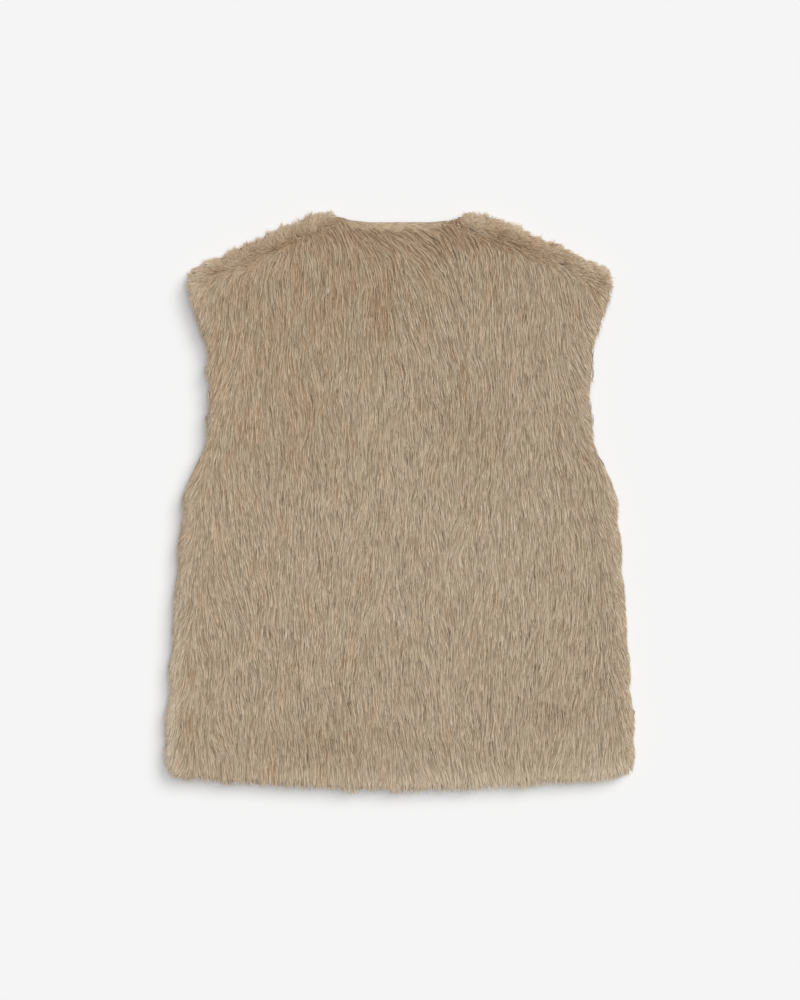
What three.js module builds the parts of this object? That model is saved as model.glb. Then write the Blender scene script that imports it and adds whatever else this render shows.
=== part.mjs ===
// A sleeveless faux fur vest, laid flat with its back up and its two fronts underneath.
// Millimetres. +X is to the right of the back, +Y runs from hem to neck, +Z is up.
// The origin is under the middle of the vest, on the surface that it lies on.
//
// Three pieces of one fur fabric are cut and sewn: a back and two fronts. Each is a wall as
// thick as the cloth with its pile brushed flat. The side seams join back and fronts at half
// height. At the shoulders each front wraps over the fold and meets the back on the top side.
// Hem, neck, armholes and the centre front stay open.

import * as THREE from "three";

// Cloth

const wall = 11.4; // fur fabric with its pile lying along it
const slit = 1; // air between the back and the fronts
const seamGap = 0.3; // between two edges that are sewn together
const frontGap = 1; // between the two front edges
const edgeRound = 12; // how far in from an edge its pile rounds off
const freeNose = 0.45; // height of a free edge's nose, as a share of the wall
const seamNose = 0.12; // the same where two pieces meet at a side seam
const noseBlunt = 0.1; // smallest part of the wall that is left at an edge
const seamDepth = 7; // how far in a side seam holds the two pieces together
const partingDip = 0.24; // how deep the pile parts along a shoulder seam, share of the wall
const partingReach = 8; // how far from a shoulder seam the pile has risen again

const middle = wall + slit / 2; // half height, where the side seams lie
const foldInner = slit / 2; // inside radius of a front where it folds over the shoulder

// Outline of the laid vest

const underarmLevel = 24; // where the side seams end and the armholes start
const underarmBlend = 18; // how far a seam takes to open into an armhole
const frontHemRise = 2.5; // how much shorter the fronts are than the back
const frontNeckDrop = 84; // how far the front neck starts below the back neck
const backNeckLevel = 306.4;

// Right edge of the back, from the hem corner up to the shoulder seam
const sideEdge = [
  { y: -304, x: 251 },
  { y: -292, x: 259.5 },
  { y: -265, x: 259.5 },
  { y: -220, x: 256.5 },
  { y: -160, x: 252.5 },
  { y: -95, x: 248 },
  { y: -40, x: 243.5 },
  { y: 2, x: 239.5 },
  { y: 24, x: 232.5 },
  { y: 44, x: 221 },
  { y: 66, x: 214 },
  { y: 100, x: 211.5 },
  { y: 140, x: 211.5 },
  { y: 170, x: 215.5 },
  { y: 200, x: 224.5 },
  { y: 222, x: 233 },
  { y: 236, x: 235 },
];

// Right edge of a front: the same side seam, then a deeper armhole up to the fold
const frontSideEdge = [
  { y: -301.5, x: 250 },
  { y: -291, x: 259.5 },
  { y: -265, x: 259.5 },
  { y: -220, x: 256.5 },
  { y: -160, x: 252.5 },
  { y: -95, x: 248 },
  { y: -40, x: 243.5 },
  { y: 2, x: 239.5 },
  { y: 24, x: 231 },
  { y: 44, x: 217.5 },
  { y: 66, x: 209.5 },
  { y: 100, x: 206.5 },
  { y: 140, x: 207 },
  { y: 170, x: 211.5 },
  { y: 200, x: 220 },
  { y: 225, x: 229.5 },
  { y: 242, x: 231.5 },
];

// Right half of the hem, from the middle of the back to the corner
const hemEdge = [
  { x: 0, y: -321.5 },
  { x: 60, y: -320.2 },
  { x: 125, y: -316.4 },
  { x: 190, y: -312 },
  { x: 232, y: -308.5 },
  { x: 251, y: -304 },
];

// Axis that a front folds round at the shoulder, from the neck to the armhole
const foldAxis = [
  { x: 66, y: 307 },
  { x: 77, y: 308.6 },
  { x: 92, y: 305.6 },
  { x: 114, y: 296.6 },
  { x: 150, y: 280.4 },
  { x: 190, y: 262.4 },
  { x: 215, y: 249.8 },
  { x: 231.5, y: 242 },
];

// Neckline of a front, from the centre front up to the neck point
const frontNeck = [
  { x: 0.5, y: 222.4 },
  { x: 12, y: 223 },
  { x: 28, y: 228.5 },
  { x: 43, y: 241 },
  { x: 56, y: 262 },
  { x: 63, y: 286 },
  { x: 66, y: 307 },
];

// Neckline of the back, from the neck point to the middle
const backNeck = [
  { x: 66.5, y: 303.2 },
  { x: 60, y: 308 },
  { x: 48, y: 307.6 },
  { x: 34, y: backNeckLevel },
  { x: 0, y: backNeckLevel },
];

// Ends of the shoulder seam on the top side
const seamAtNeck = new THREE.Vector2(66.5, 303.2);
const seamAtArm = new THREE.Vector2(235, 236);

// Soft swells and hollows of the pile on the back. Each is a long oval that leans by `lean`
// degrees, with half sizes `across` and `along`, and `rise` above or below the cloth's level.
const swells = [
  { x: -42, y: 222, across: 48, along: 44, lean: 8, rise: -1.5 },
  { x: 74, y: 214, across: 46, along: 34, lean: 20, rise: 1.2 },
  { x: -160, y: 205, across: 34, along: 52, lean: -12, rise: 1.3 },
  { x: 160, y: 190, across: 36, along: 58, lean: 10, rise: 1 },
  { x: -108, y: 96, across: 34, along: 78, lean: 4, rise: -1.6 },
  { x: 56, y: 78, across: 36, along: 42, lean: 12, rise: -1.5 },
  { x: -30, y: 30, across: 40, along: 60, lean: -6, rise: 1.4 },
  { x: 178, y: 40, across: 30, along: 70, lean: 2, rise: -1 },
  { x: -170, y: -20, across: 44, along: 46, lean: 0, rise: -1.1 },
  { x: 136, y: -90, across: 24, along: 84, lean: 14, rise: 1.5 },
  { x: -50, y: -130, across: 30, along: 76, lean: 0, rise: -1.3 },
  { x: 30, y: -120, across: 34, along: 90, lean: 4, rise: 1.2 },
  { x: -132, y: -180, across: 42, along: 64, lean: -4, rise: 1.5 },
  { x: 84, y: -208, across: 34, along: 50, lean: 6, rise: -1.1 },
  { x: 208, y: -180, across: 30, along: 96, lean: 3, rise: -1.4 },
  { x: -216, y: -150, across: 26, along: 90, lean: -5, rise: 1.2 },
  { x: 6, y: -262, across: 40, along: 30, lean: 0, rise: -1.3 },
];

// Tufts that make the edges uneven: two slow waves along an edge
const tufts = [
  { length: 64, rise: 1, phase: 0.6 },
  { length: 47, rise: 0.8, phase: 2.1 },
];

// Rows and columns of the walls

const edgeInsets = [0, 2, 6, 12]; // distances from an edge that its round profile is drawn at
const backColumns = 10; // between a shoulder seam's inner part and the side, on each half
const backNeckColumns = 8; // across the neck
const backRows = 38;
const frontColumns = 11;
const frontRows = 36;
const foldSteps = 6; // facets round the shoulder fold
const backWidth = 492; // mean width and height that the insets are shares of
const backHeight = 590;
const frontWidth = 215;
const frontHeight = 590;
const neckShare = 0.27; // share of the back's columns that end at the neck

// Curves

// A smooth line through a table's points, read by its share of the length from 0 to 1
function smoothLine(rows) {
  const points = rows.map((row) => new THREE.Vector3(row.x, row.y, 0));
  const curve = new THREE.CatmullRomCurve3(points, false, "centripetal");
  return (share) => {
    const point = curve.getPointAt(THREE.MathUtils.clamp(share, 0, 1));
    return new THREE.Vector2(point.x, point.y);
  };
}

function straightLine(from, to) {
  return (share) => from.clone().lerp(to, share);
}

// Two lines one after the other, the first up to share `change`
function chain(first, second, change) {
  return (share) =>
    share <= change ? first(share / change) : second((share - change) / (1 - change));
}

const reversed = (line) => (share) => line(1 - share);

const mirrored = (line) => (share) => {
  const point = line(share);
  return new THREE.Vector2(-point.x, point.y);
};

const shifted = (line, dx, dy) => (share) => {
  const point = line(share);
  return new THREE.Vector2(point.x + dx, point.y + dy);
};

// A surface between four lines: its bottom and top run left to right, its sides upwards
function patch(bottom, right, top, left) {
  const corners = [bottom(0), bottom(1), top(0), top(1)];
  return (u, v) => {
    const point = new THREE.Vector2();
    point.addScaledVector(bottom(u), 1 - v);
    point.addScaledVector(top(u), v);
    point.addScaledVector(left(v), 1 - u);
    point.addScaledVector(right(v), u);
    point.addScaledVector(corners[0], -(1 - u) * (1 - v));
    point.addScaledVector(corners[1], -u * (1 - v));
    point.addScaledVector(corners[2], -(1 - u) * v);
    point.addScaledVector(corners[3], -u * v);
    return point;
  };
}

// Shares from 0 to 1 with the edge insets at either end and even steps between
function stations(size, from, to, count) {
  const first = edgeInsets.map((inset) => inset / size);
  const last = edgeInsets.map((inset) => 1 - inset / size).reverse();
  const low = from === 0 ? first : [from];
  const high = to === 1 ? last : [to];
  const start = low[low.length - 1];
  const end = high[0];
  const between = [];
  for (let i = 1; i < count; i += 1) {
    between.push(start + ((end - start) * i) / count);
  }
  return [...low, ...between, ...high];
}

// Profiles of the pile near an edge

const smoothStep = (value, low, high) => THREE.MathUtils.smoothstep(value, low, high);

// Share of the full pile at a distance from an edge: a quarter of an ellipse
function pileAt(inset) {
  const share = Math.min(inset / edgeRound, 1);
  return Math.max(noseBlunt, Math.sqrt(1 - (1 - share) ** 2));
}

// Outer and inner level of a free edge, as shares of the wall from the inner face
function freeProfile(inset) {
  const pile = pileAt(inset);
  return { outer: freeNose + (1 - freeNose) * pile, inner: freeNose * (1 - pile) };
}

// The same at a side seam, where the inner face reaches down to the seam
function seamProfile(inset) {
  const reach = (slit - seamGap) / 2 / wall;
  const held = inset <= seamDepth ? -reach : 0;
  return { outer: seamNose + (1 - seamNose) * pileAt(inset), inner: held };
}

// The pile parts along a shoulder seam, and the two walls meet there face to face
function partingProfile(inset) {
  const dip = partingDip * Math.max(0, 1 - inset / partingReach) ** 1.5;
  return { outer: 1 - dip, inner: 0 };
}

function mixProfiles(a, b, share) {
  return {
    outer: THREE.MathUtils.lerp(a.outer, b.outer, share),
    inner: THREE.MathUtils.lerp(a.inner, b.inner, share),
  };
}

// Two edges near each other: the lower pile of the two, and the free edge's inner face
function joinProfiles(a, b) {
  const lifted = Math.max(a.inner, b.inner);
  return {
    outer: Math.min(a.outer, b.outer),
    inner: lifted > 0 ? lifted : Math.min(a.inner, b.inner),
  };
}

// The side of a piece: sewn up to the underarm, then free along the armhole
function sideProfile(inset, y) {
  const open = smoothStep(y, underarmLevel - underarmBlend / 2, underarmLevel + underarmBlend);
  return mixProfiles(seamProfile(inset), freeProfile(inset), open);
}

function swellAt(x, y) {
  let rise = 0;
  for (const swell of swells) {
    const lean = THREE.MathUtils.degToRad(swell.lean);
    const dx = x - swell.x;
    const dy = y - swell.y;
    const across = (dx * Math.cos(lean) + dy * Math.sin(lean)) / swell.across;
    const along = (dy * Math.cos(lean) - dx * Math.sin(lean)) / swell.along;
    rise += swell.rise * Math.exp(-(across ** 2 + along ** 2));
  }
  return rise;
}

// How far an edge's tufts stand out at a place along it, fading from the edge inwards
function tuftAt(along, inset) {
  const fade = Math.max(0, 1 - inset / edgeRound);
  let rise = 0;
  for (const tuft of tufts) {
    rise += tuft.rise * Math.sin((2 * Math.PI * along) / tuft.length + tuft.phase);
  }
  return rise * fade;
}

// Closed walls

// One closed wall from rows of point pairs: outer and inner grids and a rim that joins them
function closedWall(rows) {
  const height = rows.length;
  const width = rows[0].length;
  const positions = [];
  for (const side of ["outer", "inner"]) {
    for (const row of rows) {
      for (const pair of row) {
        positions.push(pair[side].x, pair[side].y, pair[side].z);
      }
    }
  }
  const inner = height * width;
  const at = (row, column) => row * width + column;
  const faces = [];
  const quad = (a, b, c, d) => faces.push([a, b, c], [a, c, d]);
  for (let row = 0; row < height - 1; row += 1) {
    for (let column = 0; column < width - 1; column += 1) {
      const a = at(row, column);
      const b = at(row, column + 1);
      const c = at(row + 1, column + 1);
      const d = at(row + 1, column);
      quad(a, b, c, d);
      quad(inner + a, inner + d, inner + c, inner + b);
    }
  }
  const rim = [];
  for (let column = 0; column < width - 1; column += 1) rim.push(at(0, column));
  for (let row = 0; row < height - 1; row += 1) rim.push(at(row, width - 1));
  for (let column = width - 1; column > 0; column -= 1) rim.push(at(height - 1, column));
  for (let row = height - 1; row > 0; row -= 1) rim.push(at(row, 0));
  rim.forEach((from, i) => {
    const to = rim[(i + 1) % rim.length];
    quad(from, inner + from, inner + to, to);
  });
  const geometry = new THREE.BufferGeometry();
  geometry.setAttribute("position", new THREE.Float32BufferAttribute(positions, 3));
  const facesOut = isInsideOut(positions, faces) ? faces.map(([a, b, c]) => [a, c, b]) : faces;
  geometry.setIndex(facesOut.flat());
  geometry.computeVertexNormals();
  return geometry;
}

// Whether a closed surface's faces point inwards, from the sign of its volume
function isInsideOut(positions, faces) {
  const corner = (i) => new THREE.Vector3().fromArray(positions, 3 * i);
  let volume = 0;
  for (const [a, b, c] of faces) {
    volume += corner(a).dot(corner(b).cross(corner(c)));
  }
  return volume < 0;
}

const shoulderSeam = straightLine(seamAtNeck, seamAtArm);
const acrossSeam = new THREE.Vector2(
  seamAtArm.y - seamAtNeck.y,
  seamAtNeck.x - seamAtArm.x,
).normalize(); // points down the back, square to the right shoulder seam
const sideGap = seamGap / 2;

// The back

function backGeometry() {
  const rightHem = smoothLine(hemEdge);
  const hem = chain(reversed(mirrored(rightHem)), rightHem, 0.5);
  const right = smoothLine(sideEdge);
  const rightSeam = shifted(shoulderSeam, acrossSeam.x * sideGap, acrossSeam.y * sideGap);
  const rightNeck = smoothLine(backNeck);
  const rightTop = chain(reversed(rightNeck), rightSeam, neckShare);
  const top = chain(reversed(mirrored(rightTop)), rightTop, 0.5);
  const place = patch(hem, right, top, mirrored(right));

  const seamFrom = 0.5 + neckShare / 2;
  const neckFrom = 1 - seamFrom;
  const columns = [
    ...stations(backWidth, 0, neckFrom, backColumns),
    ...stations(backWidth, neckFrom, seamFrom, backNeckColumns).slice(1),
    ...stations(backWidth, seamFrom, 1, backColumns).slice(1),
  ];
  const rows = stations(backHeight, 0, 1, backRows);

  return closedWall(
    rows.map((v) =>
      columns.map((u) => {
        const point = place(u, v);
        const inFromSide = Math.min(u, 1 - u) * backWidth;
        const inFromTop = (1 - v) * backHeight;
        const atNeck = u > neckFrom && u < seamFrom;
        const hemAndSide = joinProfiles(
          sideProfile(inFromSide, point.y),
          freeProfile(v * backHeight),
        );
        const topEdge = atNeck ? freeProfile(inFromTop) : partingProfile(inFromTop);
        const level = joinProfiles(hemAndSide, topEdge);
        point.x += Math.sign(u - 0.5) * tuftAt(point.y, inFromSide);
        point.y -= tuftAt(point.x, v * backHeight);
        const base = middle + slit / 2;
        const thickness = wall + swellAt(point.x, point.y);
        return {
          outer: new THREE.Vector3(point.x, point.y, base + thickness * level.outer),
          inner: new THREE.Vector3(point.x, point.y, base + wall * level.inner),
        };
      }),
    ),
  );
}

// The fronts

// The flat part of a front lies under the back. Rows past it go round the fold at the
// shoulder and end on the top side at the shoulder seam.
function frontGeometry(side) {
  const hemHalf = smoothLine(hemEdge);
  const hemStart = new THREE.Vector2(frontGap / 2, hemEdge[0].y + frontHemRise);
  const corner = new THREE.Vector2(frontSideEdge[0].x, frontSideEdge[0].y);
  const hem = (share) => {
    const point = hemHalf(share);
    return new THREE.Vector2(
      THREE.MathUtils.lerp(hemStart.x, corner.x, share),
      share === 1 ? corner.y : point.y + frontHemRise,
    );
  };
  const neckStart = new THREE.Vector2(frontGap / 2, backNeckLevel - frontNeckDrop);
  const centre = straightLine(hemStart, neckStart);
  const neck = smoothLine(frontNeck);
  const straightShare = 0.82; // share of the inner edge that is the straight centre front
  const inner = chain(centre, neck, straightShare);
  const outer = smoothLine(frontSideEdge);
  const axis = smoothLine(foldAxis);
  const place = patch(hem, outer, axis, inner);
  const seam = shifted(shoulderSeam, -acrossSeam.x * sideGap, -acrossSeam.y * sideGap);

  const columns = stations(frontWidth, 0, 1, frontColumns);
  const flatRows = stations(frontHeight, 0, 1, frontRows).slice(0, 1 - edgeInsets.length);
  const outward = (u) => {
    const step = 0.02;
    const along = axis(u + step).sub(axis(u - step)).normalize();
    return new THREE.Vector2(-along.y, along.x);
  };
  const edgeProfile = (u, y) =>
    joinProfiles(freeProfile(u * frontWidth), sideProfile((1 - u) * frontWidth, y));
  const pairAt = (level, at) => ({ outer: at(level.outer), inner: at(level.inner) });

  const rows = flatRows.map((v) =>
    columns.map((u) => {
      const point = place(u, v);
      const level = joinProfiles(edgeProfile(u, point.y), freeProfile(v * frontHeight));
      const sewn = 1 - smoothStep(point.y, 0, underarmLevel);
      point.x += sewn * tuftAt(point.y + side, (1 - u) * frontWidth);
      point.y -= tuftAt(side * point.x, v * frontHeight);
      const at = (share) =>
        new THREE.Vector3(side * point.x, point.y, middle - slit / 2 - wall * share);
      return pairAt(level, at);
    }),
  );
  for (let step = 0; step <= foldSteps; step += 1) {
    const turn = (Math.PI * step) / foldSteps;
    rows.push(
      columns.map((u) => {
        const point = axis(u);
        const level = edgeProfile(u, point.y);
        const normal = outward(u);
        const bushy = tuftAt(u * frontWidth + side, 0) * Math.sin(turn);
        const at = (share) => {
          const radius = foldInner + (wall + bushy) * share;
          const plan = point.clone().addScaledVector(normal, radius * Math.sin(turn));
          return new THREE.Vector3(side * plan.x, plan.y, middle - radius * Math.cos(turn));
        };
        return pairAt(level, at);
      }),
    );
  }
  for (const toSeam of [0.5, 1]) {
    rows.push(
      columns.map((u) => {
        const start = axis(u);
        const end = seam(u);
        const point = start.clone().lerp(end, toSeam);
        const inFromSeam = start.distanceTo(end) * (1 - toSeam);
        const level = joinProfiles(edgeProfile(u, point.y), partingProfile(inFromSeam));
        const at = (share) =>
          new THREE.Vector3(side * point.x, point.y, middle + slit / 2 + wall * share);
        return pairAt(level, at);
      }),
    );
  }
  return closedWall(rows);
}

// The vest

const furColour = 0xa9977f;

function furMaterial() {
  return new THREE.MeshStandardMaterial({ color: furColour, roughness: 0.95, metalness: 0 });
}

function piece(name, geometry) {
  const mesh = new THREE.Mesh(geometry, furMaterial());
  mesh.name = name;
  return mesh;
}

const vest = new THREE.Group();
vest.add(piece("back", backGeometry()));
vest.add(piece("front_right", frontGeometry(1)));
vest.add(piece("front_left", frontGeometry(-1)));

export default vest;
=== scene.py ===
# %% [markdown]
# # A faux fur vest, laid flat
# The vest is three pieces of one long-pile fur fabric: a back, and two fronts that lie under
# it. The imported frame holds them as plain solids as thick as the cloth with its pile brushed
# flat. This script keeps their places and gives them what makes fur look like fur: a knitted
# wall with a dense undercoat, and on it many thousands of fine tapered strands in small locks.
#
# Blender could grow the strands with hair curves, but this part has to leave as plain meshes.
# So every strand is a narrow ribbon in one joined mesh for each group, placed by numpy arrays.

import math

import bpy
import numpy as np
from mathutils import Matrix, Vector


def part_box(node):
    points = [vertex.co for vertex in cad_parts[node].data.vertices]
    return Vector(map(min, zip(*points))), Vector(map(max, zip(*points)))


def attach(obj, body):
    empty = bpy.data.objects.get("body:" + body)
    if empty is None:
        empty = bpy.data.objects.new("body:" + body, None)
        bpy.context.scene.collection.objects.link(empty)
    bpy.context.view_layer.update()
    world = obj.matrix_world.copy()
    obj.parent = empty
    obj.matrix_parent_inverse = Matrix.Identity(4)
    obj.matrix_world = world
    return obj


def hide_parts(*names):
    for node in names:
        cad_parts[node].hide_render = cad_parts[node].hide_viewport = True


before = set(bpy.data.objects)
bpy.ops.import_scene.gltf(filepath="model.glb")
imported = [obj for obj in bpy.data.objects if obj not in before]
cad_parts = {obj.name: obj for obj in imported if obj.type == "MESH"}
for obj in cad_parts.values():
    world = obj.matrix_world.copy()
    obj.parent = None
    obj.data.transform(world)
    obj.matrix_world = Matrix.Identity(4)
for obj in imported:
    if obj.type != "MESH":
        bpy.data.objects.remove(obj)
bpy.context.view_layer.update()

# %% [markdown]
# ## Where the vest lies
# All sizes are metres in the frame: +X across, +Y from hem to neck, +Z up. The layers meet at
# half the height of the solids. The shoulder seams lie on the top side, where the fronts come
# over the fold. The nap is read from the distance to them, so their ends are named here.

# %% Sizes of the vest
BACK = "back"
FRONTS = {"front_right": 1, "front_left": -1}
HALF_HEIGHT = (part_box("front_right")[0].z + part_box("front_right")[1].z) / 2
SLIT_HALF = 0.0013  # above and below half height, where the cloth's inner faces lie
SEAM_AT_NECK = np.array([0.0665, 0.3032])
SEAM_AT_ARM = np.array([0.235, 0.236])
SEAM_LENGTH = np.linalg.norm(SEAM_AT_ARM - SEAM_AT_NECK)
print(f"half height {HALF_HEIGHT:.4f} m, shoulder seams {SEAM_LENGTH:.3f} m long")

# %% [markdown]
# ## Camera
# The photograph looks straight down on the vest from far away. A long lens at three metres
# gives the same flat view, and other views can still be taken from the sides. The picture
# covers 0.88 by 1.1 metres of the floor.

# %% Camera over the vest
PICTURE_HEIGHT = 1.1
PICTURE_CENTRE = (0.0003, 0.0006)
CAMERA_HEIGHT = 3.0
SENSOR = 36.0  # mm, along the longer side of the picture, which is its height

scene = bpy.context.scene
camera_data = bpy.data.cameras.new("overhead")
camera_data.sensor_width = SENSOR
camera_data.lens = SENSOR * CAMERA_HEIGHT / PICTURE_HEIGHT
camera = bpy.data.objects.new("overhead", camera_data)
camera.location = (*PICTURE_CENTRE, CAMERA_HEIGHT + 2 * HALF_HEIGHT)
scene.collection.objects.link(camera)
scene.camera = camera
print(f"lens {camera_data.lens:.1f} mm")

# %% [markdown]
# ## Floor
# The vest lies on a plain pale ground. A studio would use a curved backdrop. A large flat
# square of matt paper is enough here, because the camera looks down on it.

# %% Floor
FLOOR_HALF = 12.0  # metres, far past the picture on every side
FLOOR_TONE = 0.88
PAPER_VALUES = {
    "Base Color": (FLOOR_TONE, FLOOR_TONE, FLOOR_TONE, 1),
    "Roughness": 0.9,
    "Specular IOR Level": 0.1,
}


def new_material(name, values):
    """A material with these values on its Principled shader, its node tree and that shader."""
    material = bpy.data.materials.new(name)
    material.use_nodes = True
    shader = material.node_tree.nodes["Principled BSDF"]
    for socket, value in values.items():
        shader.inputs[socket].default_value = value
    return material, material.node_tree, shader


floor_mesh = bpy.data.meshes.new("floor")
corners = [(-1, -1), (1, -1), (1, 1), (-1, 1)]
floor_mesh.from_pydata([(x * FLOOR_HALF, y * FLOOR_HALF, 0) for x, y in corners], [], [range(4)])
floor = bpy.data.objects.new("floor", floor_mesh)
scene.collection.objects.link(floor)
paper, _, _ = new_material("floor_paper", PAPER_VALUES)
floor_mesh.materials.append(paper)
print(f"the floor is {2 * FLOOR_HALF:.0f} metres wide")

# %% [markdown]
# ## Light
# The photograph's shadow is soft, falls to the left and below, and leaves the other two sides
# clean. An even sky would darken the floor all round, so half of the light comes from a wide
# lamp almost straight above, and most of the rest from a second wide one at the upper right.
# The sky is only a faint fill, though it looks pale to the camera. The plain view transform
# keeps the floor's tone as it is lit.

# %% Lamps and sky
SKY_FILL = 0.12  # how strongly the sky lights the vest
SKY_SEEN = 0.9  # how pale the camera sees it
LAMPS = {
    # power, width, tilt from straight above, side from +X towards +Y, all angles in degrees
    "overhead_lamp": (1.66, 36, 5, 45),
    "window_lamp": (1.66, 34, 42, 42),
}

for name, (power, width, tilt, side) in LAMPS.items():
    lamp_data = bpy.data.lights.new(name, "SUN")
    lamp_data.energy = power
    lamp_data.angle = math.radians(width)
    lamp = bpy.data.objects.new(name, lamp_data)
    lamp.rotation_euler = (math.radians(tilt), 0, math.radians(side + 90))
    scene.collection.objects.link(lamp)

sky = bpy.data.worlds.new("sky")
sky.use_nodes = True
sky_light = sky.node_tree.nodes["Background"]
sky_ray = sky.node_tree.nodes.new("ShaderNodeLightPath")
sky_level = sky.node_tree.nodes.new("ShaderNodeMapRange")
sky_level.inputs["To Min"].default_value = SKY_FILL
sky_level.inputs["To Max"].default_value = SKY_SEEN
sky.node_tree.links.new(sky_ray.outputs["Is Camera Ray"], sky_level.inputs["Value"])
sky.node_tree.links.new(sky_level.outputs["Result"], sky_light.inputs["Strength"])
sky_light.inputs["Color"].default_value = (1, 1, 1, 1)
scene.world = sky
scene.view_settings.view_transform = "Standard"
print(len(LAMPS), "lamps and a sky are in place")

# %% [markdown]
# ## Reading the solids
# Strands are placed on the frame's own solids, so that the fur keeps their outline. Each solid
# is read once into arrays: its corner points, a smooth normal at each point, and its triangles.
# Faces inside the vest are bare cloth: those that look into the slit between the layers, and
# the two ends that meet at a shoulder seam.

# %% Directions, and distance from the shoulder seams


def unit(rows):
    """Each row at length one."""
    return rows / np.maximum(np.linalg.norm(rows, axis=-1, keepdims=True), 1e-12)


def from_seam(x, y):
    """Distance from the shoulder seam's line in plan, positive on the side of the hem."""
    along = (SEAM_AT_ARM - SEAM_AT_NECK) / SEAM_LENGTH
    dx, dy = np.abs(x) - SEAM_AT_NECK[0], y - SEAM_AT_NECK[1]
    return -(dy * along[0] - dx * along[1])


print(f"the middle of the vest lies {from_seam(0, 0):.3f} m below the line of the seams")

# %% Surface arrays
BARE_NORMAL = 0.7  # a face between the layers looks up or down at least this much
SEAM_UPRIGHT = 0.3  # an end at a seam looks up or down less than this
SEAM_REACH = 0.0012  # and lies within this distance of the seam's line
MERGE_STEPS = 1e6  # points on the same micrometre are one point


def surface_of(node):
    """A solid as points, smooth normals, faces, their areas and which of them are furred."""
    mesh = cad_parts[node].data
    mesh.calc_loop_triangles()
    points = np.empty(len(mesh.vertices) * 3)
    mesh.vertices.foreach_get("co", points)
    points = points.reshape(-1, 3)
    faces = np.empty(len(mesh.loop_triangles) * 3, np.int32)
    mesh.loop_triangles.foreach_get("vertices", faces)
    _, first, merged = np.unique(
        np.round(points * MERGE_STEPS).astype(np.int64), axis=0, return_index=True, return_inverse=True
    )
    points, faces = points[first], merged.reshape(-1)[faces].reshape(-1, 3)
    corner = points[faces]
    cross = np.cross(corner[:, 1] - corner[:, 0], corner[:, 2] - corner[:, 0])
    normals = np.zeros_like(points)
    for k in range(3):
        np.add.at(normals, faces[:, k], cross)
    middle, flat = corner.mean(1), unit(cross)
    inside = (np.abs(middle[:, 2] - HALF_HEIGHT) < SLIT_HALF) & (np.abs(flat[:, 2]) > BARE_NORMAL)
    at_seam = np.abs(from_seam(middle[:, 0], middle[:, 1])) < SEAM_REACH
    seam_end = at_seam & (np.abs(flat[:, 2]) < SEAM_UPRIGHT) & (middle[:, 2] > HALF_HEIGHT)
    return {
        "points": points,
        "normals": unit(normals),
        "faces": faces,
        "area": np.linalg.norm(cross, axis=1) / 2,
        "furred": ~(inside | seam_end),
    }


surfaces = {node: surface_of(node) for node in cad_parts}
for node, surface in surfaces.items():
    furred = surface["area"][surface["furred"]].sum()
    print(f"{node}: {len(surface['faces'])} faces, {furred:.3f} square metres of fur")

# %% [markdown]
# ## The nap
# Pile lies one way, like brushed hair. On this vest it falls to the hem, but a hand has moved
# it in places: it sweeps sideways along the back neck and over the shoulders, and leans a
# little here and there below. Hair curves could be combed with a brush, but nobody can read a
# brush stroke later. Each row of this table is one such place: a soft oval with a lean in
# degrees, positive where the tips go to the right.

# %% Places where the nap was moved
NAP_PLACES = [
    # x, y, across, along, lean
    (-0.006, 0.308, 0.080, 0.024, 70),
    (-0.005, 0.312, 0.060, 0.010, 20),
    (-0.004, 0.272, 0.046, 0.024, 30),
    (0.045, 0.262, 0.034, 0.046, 20),
    (0.022, 0.196, 0.036, 0.050, 14),
    (0.060, 0.150, 0.040, 0.050, 8),
    (-0.175, 0.140, 0.030, 0.050, -5),
    (0.190, 0.110, 0.034, 0.110, 11),
    (-0.100, 0.095, 0.040, 0.050, 8),
    (0.085, 0.060, 0.026, 0.040, -7),
    (-0.170, 0.000, 0.040, 0.050, 9),
    (-0.045, -0.040, 0.026, 0.050, -6),
    (0.085, -0.030, 0.030, 0.050, -6),
    (0.160, -0.010, 0.050, 0.050, 6),
    (-0.188, -0.105, 0.040, 0.060, 14),
    (-0.045, -0.130, 0.024, 0.060, -10),
    (0.022, -0.165, 0.034, 0.060, 7),
    (0.080, -0.150, 0.026, 0.050, -6),
    (0.170, -0.170, 0.040, 0.050, -9),
    (-0.060, -0.250, 0.060, 0.040, 9),
    (0.030, -0.280, 0.034, 0.040, 14),
    (0.090, -0.295, 0.026, 0.030, 16),
    (-0.200, -0.280, 0.030, 0.030, 14),
    (0.200, -0.280, 0.040, 0.050, -8),
    (-0.245, -0.030, 0.030, 0.050, -14),
]
print(len(NAP_PLACES), "places have a lean of their own")

# %% [markdown]
# ## The nap at the shoulders
# Below the seam the back's pile turns towards the arm. Beyond it lies the band of the front,
# whose pile points out over the fold, so the two part along an uneven line. These leans follow
# no simple rule. They are tables for each side, read by the distance from the vest's middle.

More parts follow.
